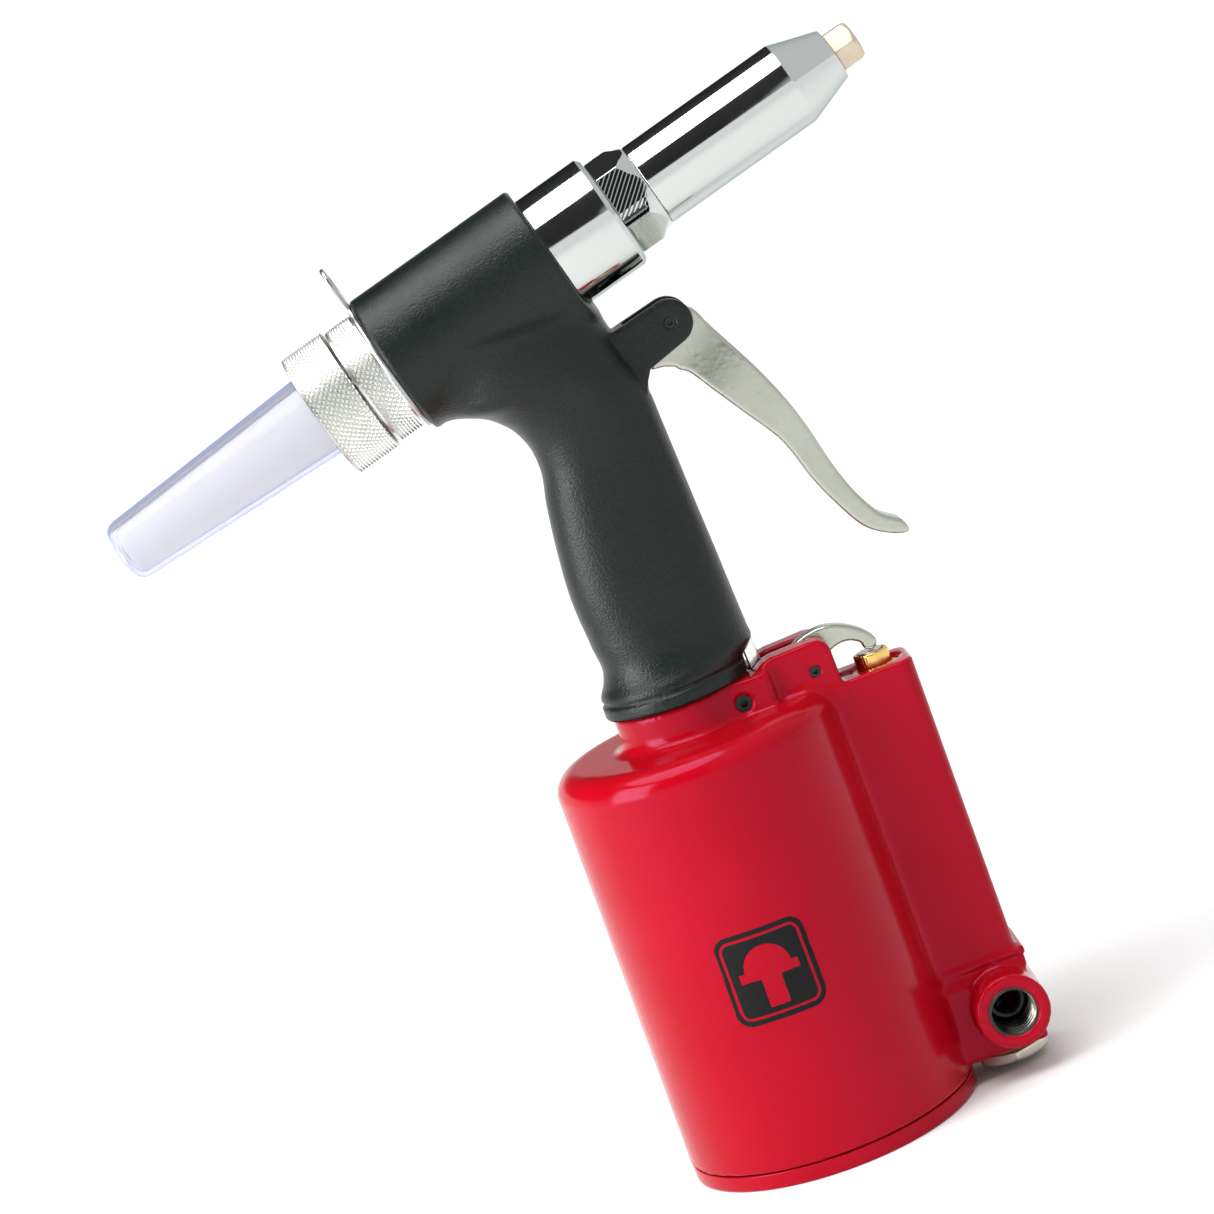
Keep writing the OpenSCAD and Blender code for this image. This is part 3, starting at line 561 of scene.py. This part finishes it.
def nut_solid(p):
    """Hexagonal nut, turned to a cone in front, which leaves a round face, and lightly behind."""
    radial, down, side, along = head_axes(p)
    body = hex_bar(down, side, along, NUT_FLATS, NUT_TURN, NUT_REAR, NUT_FRONT, 0.3)
    long_cone = cone(radial, along, 14.43, 37.0, 0.83, 0.555)
    rim_cone = cone(radial, along, 12.3, NUT_FRONT, 0.944, 0.33)
    back_cone = cone(radial, along, 13.9, 30.2, 0.5, -0.86)
    body = round_max(round_max(body, np.minimum(long_cone, rim_cone), 0.2), back_cone, 0.2)
    return cut(body, radial - NUT_BORE_R, 0.3)


def nosepiece_solid(p):
    """Hexagonal tip with a stem behind, bored for the mandrel."""
    radial, down, side, along = head_axes(p)
    tip = hex_bar(down, side, along, TIP_FLATS, math.pi / 6, TIP_REAR, TIP_FRONT, 0.3)
    tip = round_max(tip, cone(radial, along, 5.2, 109.6, 0.7, 0.72), 0.3)
    stem = rod(radial, along, 4.5, 92.2, 104, 0.3)
    spigot = rod(radial, along, 3.9, 88.7, 94, 0.3)
    body = np.minimum(np.minimum(tip, stem), spigot)
    mouth = radial - MANDREL_R - np.maximum(along - 109.3, 0) * 0.8
    return cut(body, mouth, 0.15)


def bush_solid(p):
    """Brass bush round the valve's button, with fine upright ribs on its cap."""
    x, y, z = split(p)
    radial = np.hypot(x - VALVE_X, y)
    ribs = 0.16 * np.abs(np.sin(18 * np.arctan2(y, x - VALVE_X)))
    cap = rod(radial + ribs, z, 5.1, 119, 124.2, 0.5)
    stem = rod(radial, z, 6.97, 109, 119.7, 0.3)
    hole = np.minimum(np.maximum(radial - 3.95, 113.6 - z), radial - 2.51)
    return cut(np.minimum(cap, stem), hole, 0.25)


def valve_plug_solid(p):
    """Hexagonal plug that closes the column from below."""
    x, y, z = split(p)
    radial = np.hypot(x - VALVE_X, y)
    cap = hex_bar(x - VALVE_X, y, z, PLUG_FLATS, math.pi / 6, PLUG_LOW, PLUG_HIGH, 0.4)
    cap = round_max(cap, cone(radial, z, 10.2, 2.2, 0.5, -0.86), 0.3)
    stem = rod(radial, z, PLUG_SEAT_R - 0.03, 4.5, PLUG_SEAT_TOP, 0.4)
    return cut(np.minimum(cap, stem), np.maximum(radial - 3.8, 12 - z), 0.3)


def mark_solid(p):
    """Printed mark: a plain rounded panel, with a rivet left open in it. It follows the wall."""
    x, y, z = split(p)
    turn, height, half, corner, r = math.radians(4.15), 59.1, 13.0, 4.5, 41.5
    u = r * (np.arctan2(x, -y) + turn)
    v = z - height
    panel = round_max(np.abs(u) - half, np.abs(v) - half, corner)
    dome = np.maximum(np.hypot(u, v - 1.6) - 6.6, 1.6 - v)
    flange = np.maximum(np.abs(u) - 8.4, np.abs(v - 0.4) - 1.3)
    shank = np.maximum(np.abs(u) - 2.8, np.abs(v + 4.5) - 4.6)
    rivet = np.minimum(np.minimum(dome, flange), shank)
    border = np.abs(panel + 1.9) - 0.35
    film = np.abs(np.hypot(x, y) - wall_radius(z) + 0.12) - 0.2
    return np.maximum(np.maximum(panel, film), -np.minimum(rivet, border))


def hanger_solid(p):
    """Thin ring behind the casing, with an eye on a tab above it."""
    radial, down, side, along = head_axes(p)
    eye = np.hypot(down - EYE_DOWN, side)
    tab = np.maximum(np.abs(side) - EYE_RIM_R, np.abs(down + 22) - 5.3)
    plan = fillet_min(fillet_min(radial - HANGER_R, tab, 3.0), eye - EYE_RIM_R, 0.5)
    plan = np.maximum(np.maximum(plan, HANGER_HOLE_R - radial), EYE_R - eye)
    return round_max(plan, np.abs(along - HANGER_PLACE) - HANGER_THICK / 2, 0.35)


def strip_solid(p):
    """Flat bar in the front of the grip, with a window for each lever's arm."""
    x, y, z = split(p)
    ahead, up = front_axes(p)
    bar = block(np.stack([ahead, y, up], -1), (-4.1, -2.8, 124.4), (-0.3, 2.8, 225.4), 0.5)
    for hole_x, hole_z in (TRIGGER_TIP, ROCKER_TIP):
        window = np.maximum(np.abs(z - hole_z) - 1.95, np.abs(y) - 2.0)
        bar = cut(bar, np.maximum(window, np.abs(x - hole_x) - 12), 0.2)
    return bar


def knurled_ring(name, low, high, r, inner, pitch=1.75, depth=0.9):
    """Ring with a cut diamond knurl: small pyramids between two chamfered plain lands."""
    around = 2 * int(2 * math.pi * r / pitch)
    land, bevel, gap = 0.1, 0.2, 0.02
    land_r = r - depth * 0.4
    rows = 2 * int((high - low - 2 * (land + bevel)) / pitch)
    start = (low + high) / 2 - rows * pitch / 4
    end = start + rows * pitch / 2
    # Each ring of points has its place, then the radii of its even and its odd points
    rings = [(low, inner, inner), (low, r - bevel, r - bevel), (low + bevel, land_r, land_r),
             (start - gap, land_r, land_r)]
    knurl_first = len(rings)
    for j in range(rows + 1):
        rings.append((start + j * pitch / 2, r - depth * (j % 2), r - depth * ((j + 1) % 2)))
    rings += [(end + gap, land_r, land_r), (high - bevel, land_r, land_r),
              (high, r - bevel, r - bevel), (high, inner, inner)]
    verts, faces = [], []
    for along, even, odd in rings:
        for i in range(around):
            a = 2 * math.pi * i / around
            radius = odd if i % 2 else even
            verts.append(to_head(radius * math.cos(a), radius * math.sin(a), along))
    for k in range(len(rings)):
        a, b = k * around, (k + 1) % len(rings) * around
        on_knurl = knurl_first <= k < knurl_first + rows
        for i in range(around):
            n = (i + 1) % around
            quad = (a + i, a + n, b + n, b + i)
            if not on_knurl:
                faces.append(quad)
            # Each square of the knurl is split along its groove, from valley to valley
            elif (i + k - knurl_first) % 2 == 0:
                faces += [(quad[0], quad[1], quad[3]), (quad[1], quad[2], quad[3])]
            else:
                faces += [(quad[0], quad[1], quad[2]), (quad[0], quad[2], quad[3])]
    obj = mesh_object(name, verts, [f[::-1] for f in faces])
    # The knurl's triangles stay flat
    obj.data.polygons.foreach_set("use_smooth", [len(f) == 4 for f in faces])
    crisp(obj, 30)
    return obj


def thread(name, r, depth, low, high, pitch, place):
    """Lining of a tapped hole, with a helical ridge."""
    segments, per_pitch, wall = 72, 6, 0.15
    rows = int((high - low) / pitch * per_pitch)
    rings = []
    for j in range(rows + 1):
        along = low + (high - low) * j / rows
        waves = [abs(((along / pitch - i / segments) % 1) * 2 - 1) for i in range(segments)]
        rings.append((along, [r - depth * (1 - wave) for wave in waves]))
    rings += [(along, [r + wall] * segments) for along in (high, low)]
    verts, faces = [], []
    for along, radii in rings:
        for i, radius in enumerate(radii):
            a = 2 * math.pi * i / segments
            verts.append(place(radius * math.cos(a), radius * math.sin(a), along))
    for k in range(len(rings)):
        a, b = k * segments, (k + 1) % len(rings) * segments
        for i in range(segments):
            n = (i + 1) % segments
            faces.append((a + i, b + i, b + n, a + n))
    obj = mesh_object(name, verts, faces)
    crisp(obj, 35)
    return obj


# ---- Materials ----

def shader(name, colour, metallic=0.0, roughness=0.5, **more):
    """Principled material. Further inputs are given by name, with underscores for spaces."""
    mat = bpy.data.materials.new(name)
    mat.use_nodes = True
    bsdf = bsdf_of(mat)
    bsdf.inputs["Base Color"].default_value = (*colour, 1)
    bsdf.inputs["Metallic"].default_value = metallic
    bsdf.inputs["Roughness"].default_value = roughness
    for key, value in more.items():
        bsdf.inputs[key.replace("_", " ")].default_value = value
    return mat


def bsdf_of(mat):
    """The material's Principled node."""
    return mat.node_tree.nodes["Principled BSDF"]


def add(mat, kind, **inputs):
    """New node, with some of its inputs set."""
    node = mat.node_tree.nodes.new(kind)
    for key, value in inputs.items():
        node.inputs[key.replace("_", " ")].default_value = value
    return node


def math_node(mat, operation, *values):
    """Result of an operation on wired values."""
    node = add(mat, "ShaderNodeMath")
    node.operation = operation
    for value, socket in zip(values, node.inputs):
        wire(mat, value, socket)
    return node.outputs["Value"]


def wire(mat, source, target):
    """Links one socket to another."""
    mat.node_tree.links.new(source, target)


def feed(mat, source, name):
    """Links a socket to the Principled node's input of that name."""
    wire(mat, source, bsdf_of(mat).inputs[name])


def mapped(mat, vector, scale=(1, 1, 1), turn=(0, 0, 0)):
    """Coordinates turned and stretched."""
    mapping = add(mat, "ShaderNodeMapping", Scale=scale, Rotation=turn)
    wire(mat, vector, mapping.inputs["Vector"])
    return mapping.outputs["Vector"]


def object_space(mat, turn=(0, 0, 0)):
    """Coordinates in metres of the object, turned."""
    coords = add(mat, "ShaderNodeTexCoord")
    return mapped(mat, coords.outputs["Object"], turn=turn)


def noise(mat, scale, detail=4, rough=0.5, space=None):
    """Soft random pattern between 0 and 1."""
    node = add(mat, "ShaderNodeTexNoise", Scale=scale, Detail=detail, Roughness=rough)
    wire(mat, space or object_space(mat), node.inputs["Vector"])
    return node.outputs["Fac"]


def bands(mat, direction, space, scale, distortion, detail):
    """Parallel bands between 0 and 1, slightly uneven."""
    node = add(mat, "ShaderNodeTexWave", Scale=scale, Distortion=distortion, Detail=detail)
    node.bands_direction = direction
    wire(mat, space, node.inputs["Vector"])
    return node.outputs["Fac"]


def spread(mat, value, low, high, start=0.3, end=0.7):
    """Maps a value to a range of numbers."""
    node = add(mat, "ShaderNodeMapRange", From_Min=start, From_Max=end, To_Min=low, To_Max=high)
    wire(mat, value, node.inputs["Value"])
    return node.outputs["Result"]


def tint(mat, value, low, high, start=0.3, end=0.7):
    """Maps a value to a blend of two colours."""
    node = add(mat, "ShaderNodeValToRGB")
    ramp = node.color_ramp
    ramp.elements[0].position, ramp.elements[0].color = start, (*low, 1)
    ramp.elements[1].position, ramp.elements[1].color = end, (*high, 1)
    wire(mat, value, node.inputs["Fac"])
    return node.outputs["Color"]


def bump(mat, value, strength, distance, below=None):
    """Small relief on the surface, over an earlier one where that is given."""
    node = add(mat, "ShaderNodeBump", Strength=strength, Distance=distance)
    wire(mat, value, node.inputs["Height"])
    if below is not None:
        wire(mat, below, node.inputs["Normal"])
    feed(mat, node.outputs["Normal"], "Normal")
    return node.outputs["Normal"]


def casing_black():
    """Black moulding with a fine leathery grain."""
    mat = shader("textured_black", (0.02, 0.024, 0.021), roughness=0.33, Specular_IOR_Level=0.29)
    grain = noise(mat, 1500, 3, 0.6)
    feed(mat, tint(mat, grain, (0.001, 0.003, 0.002), (0.006, 0.011, 0.008)), "Base Color")
    feed(mat, spread(mat, noise(mat, 60), 0.28, 0.37), "Roughness")
    first = bump(mat, noise(mat, 420, 2), 0.2, 0.0003)
    bump(mat, noise(mat, 1500, 2, 0.7), 0.6, 0.0003, first)
    return mat


def enamel_red():
    """Stoved red paint."""
    mat = shader("red_enamel", (0.33, 0.0015, 0.007), roughness=0.2, Specular_IOR_Level=0.22,
                 Specular_Tint=(0.72, 0.42, 0.8, 1))
    feed(mat, tint(mat, noise(mat, 25), (0.31, 0.001, 0.005), (0.35, 0.002, 0.009)), "Base Color")
    feed(mat, spread(mat, noise(mat, 90), 0.13, 0.22), "Roughness")
    bump(mat, noise(mat, 230, 2), 0.03, 0.0003)
    return mat


def chrome():
    """Bright chrome, with faint turning lines across the head's axis."""
    mat = shader("bright_chrome", (0.58, 0.605, 0.59), 1.0, 0.045,
                 Specular_Tint=(0.55, 0.6, 0.6, 1))
    feed(mat, spread(mat, noise(mat, 140), 0.05, 0.1), "Roughness")
    on_head = object_space(mat, (0, HEAD_TILT, 0))
    lines = noise(mat, 900, 2, 0.5, mapped(mat, on_head, (1, 0.02, 0.02)))
    bump(mat, lines, 0.03, 0.0001)
    return mat


def milled_chrome_and_painted_reflection():
    """Chrome with coarse slanted cutter lines on the two upright flats of the nut, and a painted
    reflection: dark stripes in the colour there.
    """
    mat = shader("milled_chrome_and_painted_reflection", (0.58, 0.61, 0.59), 1.0, 0.07)
    slanted = object_space(mat, (0, math.radians(-38), 0))
    cuts = bands(mat, "X", slanted, 290.0, 0.3, 1.0)
    coords = add(mat, "ShaderNodeTexCoord")
    split_normal = add(mat, "ShaderNodeSeparateXYZ")
    wire(mat, coords.outputs["Normal"], split_normal.inputs["Vector"])
    sideways = math_node(mat, "ABSOLUTE", split_normal.outputs["Y"])
    plain = spread(mat, sideways, 1.0, 0.0, 0.955, 0.97)
    marks_and_painted_reflection = math_node(mat, "MAXIMUM", cuts, plain)
    # Painted reflection: the stripes on the flats are coloured dark, standing in for dark
    # reflections; the other faces stay bright chrome
    feed(mat, tint(mat, marks_and_painted_reflection, (0.12, 0.13, 0.14), (0.58, 0.61, 0.59), 0.3, 0.8), "Base Color")
    bump(mat, marks_and_painted_reflection, 0.5, 0.0001)
    return mat


def satin(name, colour, low, high, grain=500, depth=0.00012, metallic=1.0):
    """Metal with a fine grain and slightly uneven gloss."""
    mat = shader(name, colour, metallic, (low + high) / 2)
    feed(mat, spread(mat, noise(mat, 70, 5), low, high), "Roughness")
    dull = tuple(c * 0.86 for c in colour)
    feed(mat, tint(mat, noise(mat, 45, 6), dull, colour), "Base Color")
    bump(mat, noise(mat, grain, 4), 0.35, depth)
    return mat


def tapped_metal():
    """Bare metal of a cut thread, with painted shade: dark in the thread's valleys, light on its
    ridges.
    """
    mat = shader("cut_thread", (0.4, 0.39, 0.33), 1.0, 0.4)
    # A wave texture of this scale repeats once in a millimetre
    once_per_mm = 314.16
    thread_relief_and_painted_shade = bands(mat, "Y", object_space(mat), once_per_mm / THREAD_PITCH, 1.2, 2.0)
    # Painted shade: the valleys are coloured near black and the ridges light, from the same waves
    # that give the bump
    feed(mat, tint(mat, thread_relief_and_painted_shade, (0.05, 0.05, 0.045), (0.5, 0.48, 0.4), 0.25, 0.8), "Base Color")
    feed(mat, spread(mat, noise(mat, 900), 0.3, 0.6), "Roughness")
    bump(mat, thread_relief_and_painted_shade, 0.6, 0.0004)
    return mat


def rubber():
    """Black rubber of the seals."""
    mat = shader("black_rubber", (0.02, 0.02, 0.02), roughness=0.55)
    bump(mat, noise(mat, 900, 3), 0.2, 0.0001)
    feed(mat, spread(mat, noise(mat, 200), 0.45, 0.65), "Roughness")
    return mat


def clear_plastic():
    """Slightly milky plastic, whose edges turn blue."""
    mat = shader("clear_plastic", (0.93, 0.94, 1.0), roughness=0.06, IOR=1.12,
                 Transmission_Weight=0.78)
    layer = add(mat, "ShaderNodeLayerWeight", Blend=0.35)
    facing = layer.outputs["Facing"]
    feed(mat, tint(mat, facing, (0.77, 0.77, 0.81), (0.3, 0.4, 0.9), 0.36, 0.74), "Base Color")
    feed(mat, spread(mat, facing, 0.8, 0.55, 0.36, 0.74), "Transmission Weight")
    feed(mat, spread(mat, noise(mat, 60), 0.03, 0.08), "Roughness")
    bump(mat, noise(mat, 80, 2), 0.05, 0.0005)
    return mat


def printed_ink():
    """Thin flat print, slightly uneven."""
    mat = shader("printed_ink", (0.008, 0.008, 0.008), roughness=0.6, Specular_IOR_Level=0.12)
    feed(mat, tint(mat, noise(mat, 45, 6), (0.006, 0.006, 0.006), (0.01, 0.01, 0.01)),
          "Base Color")
    feed(mat, spread(mat, noise(mat, 70, 5), 0.5, 0.65), "Roughness")
    bump(mat, noise(mat, 500, 4), 0.35, 0.00012)
    return mat


MATERIALS = {
    "casing_black": casing_black(),
    "enamel_red": enamel_red(),
    "chrome": chrome(),
    "milled_chrome_and_painted_reflection": milled_chrome_and_painted_reflection(),
    "knurled_steel": satin("nickel_knurl", (0.79, 0.8, 0.77), 0.24, 0.36),
    "tapped_metal": tapped_metal(),
    "cast_satin": satin("tumbled_casting", (0.46, 0.48, 0.41), 0.2, 0.36, 350, 0.0003),
    "steel": satin("ground_steel", (0.62, 0.62, 0.62), 0.2, 0.34),
    "plate_steel": satin("bright_sheet", (0.8, 0.8, 0.79), 0.12, 0.24),
    "black_steel": satin("black_oxide", (0.04, 0.04, 0.042), 0.3, 0.45),
    "nose_steel": satin("straw_steel", (0.66, 0.56, 0.43), 0.4, 0.55),
    "zinc_steel": satin("zinc_plate", (0.66, 0.63, 0.56), 0.24, 0.4),
    "spring_steel": satin("spring_wire", (0.42, 0.42, 0.44), 0.25, 0.4),
    "brass": satin("turned_brass", (0.82, 0.56, 0.18), 0.12, 0.24),
    "bronze": satin("turned_bronze", (0.62, 0.42, 0.2), 0.2, 0.34),
    "rubber": rubber(),
    "printed_ink": printed_ink(),
    "fibre": satin("fibre_washer", (0.2, 0.12, 0.07), 0.6, 0.8, metallic=0.0),
    "aluminium": satin("machined_aluminium", (0.8, 0.8, 0.81), 0.2, 0.34),
    "clear_plastic": clear_plastic(),
}


def dress(obj, material):
    """Gives a piece its one material."""
    obj.data.materials.clear()
    obj.data.materials.append(MATERIALS[material])


def stand_for(piece, body, node, slot, material=None):
    """Puts a detailed piece in the place of one CAD node."""
    dress(piece, material or slot)
    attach(piece, body)
    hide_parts(node)


def add_detail(piece, material):
    """Adds a piece of detail that the CAD doesn't have, on the fixed frame."""
    dress(piece, material)
    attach(piece, "frame")


# ---- Pieces ----

def dress_cad_pieces():
    """Gives every CAD node the material of its slot."""
    for part in frame["record"]["subparts"]:
        dress(frame["nodes"][part["node"]], part["material_slot"])


def castings():
    """Casing, red casting, both levers and the strip between them."""
    stand_for(skin("casing", casing_solid, (-48, -21, 131), (40, 21, 278), 0.65),
              "frame", "handle_casing", "casing_black")
    stand_for(skin("red_cylinder", cylinder_solid, (-42.2, -42.2, 5), (67.5, 42.2, 134.5), 0.9),
              "frame", "air_cylinder", "enamel_red")
    stand_for(skin("finger_lever", trigger_solid, (18, -5.6, 152), (76, 5.6, 236), 0.5),
              "trigger", "trigger_lever", "cast_satin")
    stand_for(skin("valve_rocker", rocker_solid, (21.6, -2.7, 122), (58.5, 2.7, 136), 0.4),
              "rocker", "rocker_lever", "cast_satin")
    stand_for(skin("trigger_bar", strip_solid, (16, -2.9, 123), (28, 2.9, 226), 0.4),
              "strip", "trigger_strip", "plate_steel")


def head():
    """Collar, nut and barrel in front of the casing, and the rings and hanger behind it."""
    flange_r, flange_rear, bore_r, bore_front, bevel = 17.0, 9.45, 8.06, 20.0, 1.2
    spigot_r, screw_hole_r = SEAT_R - 0.05, NUT_BORE_R - 0.02
    rear, front = FRONT_SEAT + 0.1, NUT_REAR - 0.04
    collar = rounded([
        (rear, bore_r), (rear, spigot_r), (flange_rear, spigot_r, 0), (flange_rear, flange_r),
        (front - bevel, flange_r, 0.5), (front, flange_r - bevel, 0.4), (front, screw_hole_r),
        (bore_front, screw_hole_r), (bore_front, bore_r)], 0.35)
    stand_for(lathe("collar", collar), "frame", "front_gland", "chrome")

    barrel_r, screw_r, inner_r, screw_end = 12.2, 10.9, 9.2, 20.5
    cone_rear, cone_tip_r, tip_bore_r, tip_bore_rear = 88.8, 7.5, 4.53, 92
    shoulder = NUT_FRONT + 0.05
    barrel = rounded([
        (screw_end, inner_r), (screw_end, screw_r), (shoulder, screw_r, 0),
        (shoulder, barrel_r, 0.4), (cone_rear, barrel_r, 1.0), (TIP_REAR, cone_tip_r, 0.4),
        (TIP_REAR, tip_bore_r), (tip_bore_rear, tip_bore_r), (tip_bore_rear, inner_r)], 0.3)
    stand_for(lathe("nose_barrel", barrel), "frame", "nose_housing", "chrome")

    stand_for(skin("hex_nut", nut_solid, (22, -12.6, 245), (48, 12.6, 285), 0.3),
              "frame", "lock_nut", "chrome", "milled_chrome_and_painted_reflection")
    stand_for(skin("hex_nosepiece", nosepiece_solid, (82, -6.5, 270), (109, 6.5, 292), 0.35),
              "frame", "nosepiece", "nose_steel")
    stand_for(skin("hanger", hanger_solid, (-56, -19.1, 222), (-35, 19.1, 277), 0.32),
              "frame", "hanger_plate", "plate_steel", "spring_steel")
    stand_for(knurled_ring("rear_knurl", -67, -53.9, 18.7, 14.06), "ring", "collector_ring",
              "knurled_steel")
    stand_for(knurled_ring("front_knurl", -53.2, -44.5, 18.0, 13.2), "frame", "end_cap",
              "knurled_steel")


def bottle():
    """Clear bottle for the spent mandrels: thin walls, and a rim that the ring holds."""
    closed_end, mouth, rim_rear, rim_front, rim_r = -134.0, -67.0, -64.0, -62.2, 13.9
    end_r, mouth_r, wall = 9.35, 12.7, 1.6
    outline = rounded([
        (closed_end, 0.02, 0), (closed_end, end_r, 5), (mouth, mouth_r, 0.5),
        (rim_rear, mouth_r, 0.2), (rim_rear, rim_r), (rim_front, rim_r),
        (rim_front, mouth_r - wall), (mouth, mouth_r - wall, 0.5),
        (closed_end + wall, end_r - wall, 3.6), (closed_end + wall, 0.02, 0)], 0.2, 8)
    stand_for(lathe("clear_bottle", outline), "bottle", "collector_bottle", "clear_plastic")


def mark():
    """Mark printed on the drum's wall."""
    add_detail(skin("printed_mark", mark_solid, (-16.5, -42, 45), (11.5, -39.2, 73), 0.25),
               "printed_ink")


def valve_column():
    """Bush and plug of the valve, the lining of the air inlet's thread, and a black sleeve in the
    inlet that paints the shade deep in the hole.
    """
    stand_for(skin("brass_bush", bush_solid, (46.5, -7.1, 108.8), (61.5, 7.1, 124.4), 0.35),
              "frame", "valve_bush", "brass")
    stand_for(skin("hex_plug", valve_plug_solid, (42, -11.6, 1.6), (66, 11.6, 14.2), 0.45),
              "frame", "valve_plug", "zinc_steel")
    lining_r, disc_outer, disc_inner = INLET_R - 0.05, INLET_FACE + 13.6, INLET_FACE + 13.9
    add_detail(thread("inlet_thread", lining_r, 0.95, INLET_FACE + 0.5, INLET_FACE + 13.8,
                      THREAD_PITCH, along_y(INLET_X, INLET_Z)), "tapped_metal")
    # Painted shade: a thin black sleeve over the passage's wall and the floor of the tapped hole,
    # so the hole's depth reads dark
    wall_r, clear_r, passage_end = PASSAGE_R - 0.01, PASSAGE_R - 0.15, -3.7
    outline = [(disc_outer, lining_r), (disc_inner, lining_r), (disc_inner, wall_r),
               (passage_end, wall_r), (passage_end, clear_r), (disc_outer, clear_r)]
    add_detail(lathe("inlet_shade_sleeve", outline, along_y(INLET_X, INLET_Z, -1), 64),
               "black_steel")


def foot():
    """Cap that closes the drum from below: a disc with a shallow dish, and a spigot inside."""
    foot_r, spigot_r, dish_r, floor_top, spigot_top = 41.8, AIR_BORE_R - 0.03, 12, 3, 9
    lip = WALL_FOOT - 0.4
    outline = rounded([
        (0, 0.02, 0), (0, foot_r, 0.8), (lip, foot_r, 0.4), (lip, spigot_r, 0.1),
        (spigot_top, spigot_r), (spigot_top, dish_r), (floor_top, dish_r), (floor_top, 0.02, 0)],
        0.4)
    stand_for(lathe("foot_cap", outline, upright(0, 0), 200), "frame", "base_cap", "enamel_red")


# ---- Stage, light and camera ----

def white_floor():
    """White floor, out to the horizon."""
    bpy.ops.mesh.primitive_circle_add(vertices=96, radius=80, fill_type="NGON")
    floor = bpy.context.object
    floor.name = "floor"
    floor.data.materials.append(
        shader("pale_floor", (0.72, 0.72, 0.72), roughness=0.9, Specular_IOR_Level=0.1))


def surroundings():
    """White horizon and right-hand wall, and a dark band above that the chrome mirrors."""
    world = bpy.data.worlds.new("studio")
    bpy.context.scene.world = world
    world.use_nodes = True
    coords = add(world, "ShaderNodeTexCoord")
    split_view = add(world, "ShaderNodeSeparateXYZ")
    wire(world, coords.outputs["Generated"], split_view.inputs["Vector"])

    # Level of the light at each height, then the wall on the right
    ramp = add(world, "ShaderNodeValToRGB")
    wire(world, split_view.outputs["Z"], ramp.inputs["Fac"])
    stops = ((0.165, 1.1), (0.195, 0.03), (1.0, 0.05))
    elements = ramp.color_ramp.elements
    elements.new(stops[1][0])
    for stop, (height, level) in zip(elements, stops):
        stop.position = height
        stop.color = (level, level, level, 1)
    wall = spread(world, split_view.outputs["X"], 0.0, 0.8, 0.0, 0.09)
    brighter = math_node(world, "MAXIMUM", ramp.outputs["Color"], wall)
    wire(world, brighter, world.node_tree.nodes["Background"].inputs["Color"])


def lamp(name, kind, power, direction):
    """Light that shines along a direction. Gives its data and its object."""
    light = bpy.data.lights.new(name, kind)
    light.energy = power
    obj = bpy.data.objects.new(name, light)
    bpy.context.collection.objects.link(obj)
    obj.rotation_euler = direction.to_track_quat("-Z", "Y").to_euler()
    return light, obj


def sun(name, from_direction, power, spread_angle):
    """Distant light, soft by its angle."""
    light, _ = lamp(name, "SUN", power, -Vector(from_direction))
    light.angle = spread_angle


def area_light(name, place, target, size, power):
    """Rectangular light that faces its target."""
    light, obj = lamp(name, "AREA", power, Vector(target) - Vector(place))
    light.shape = "RECTANGLE"
    light.size, light.size_y = size
    obj.location = place


def camera():
    """Looks along +Y from a little above, rolled so that the gun leans to the left."""
    target = Vector((-0.00986, 0, 0.1612))
    elevation, roll, distance = math.radians(9), math.radians(20.35), 1.045
    lens, sensor = 112.7, 36
    ahead = Vector((0, math.cos(elevation), -math.sin(elevation)))
    up = Vector((0, math.sin(elevation), math.cos(elevation)))
    right = Vector((1, 0, 0))
    rolled_right = right * math.cos(roll) - up * math.sin(roll)
    rolled_up = right * math.sin(roll) + up * math.cos(roll)
    data = bpy.data.cameras.new("camera")
    data.lens, data.sensor_width = lens, sensor
    obj = bpy.data.objects.new("camera", data)
    bpy.context.collection.objects.link(obj)
    turn = Matrix((rolled_right, rolled_up, -ahead)).transposed().to_4x4()
    obj.matrix_world = Matrix.Translation(target - ahead * distance) @ turn
    bpy.context.scene.camera = obj


dress_cad_pieces()
castings()
head()
bottle()
mark()
valve_column()
foot()

white_floor()
surroundings()
sun("ceiling", (-0.27, -0.13, 1), 3.6, math.radians(50))
area_light("key", (-1.25, -0.6, 0.5), (0, 0, 0.15), (0.8, 1.3), 31)
camera()
bpy.context.scene.view_settings.view_transform = "Standard"
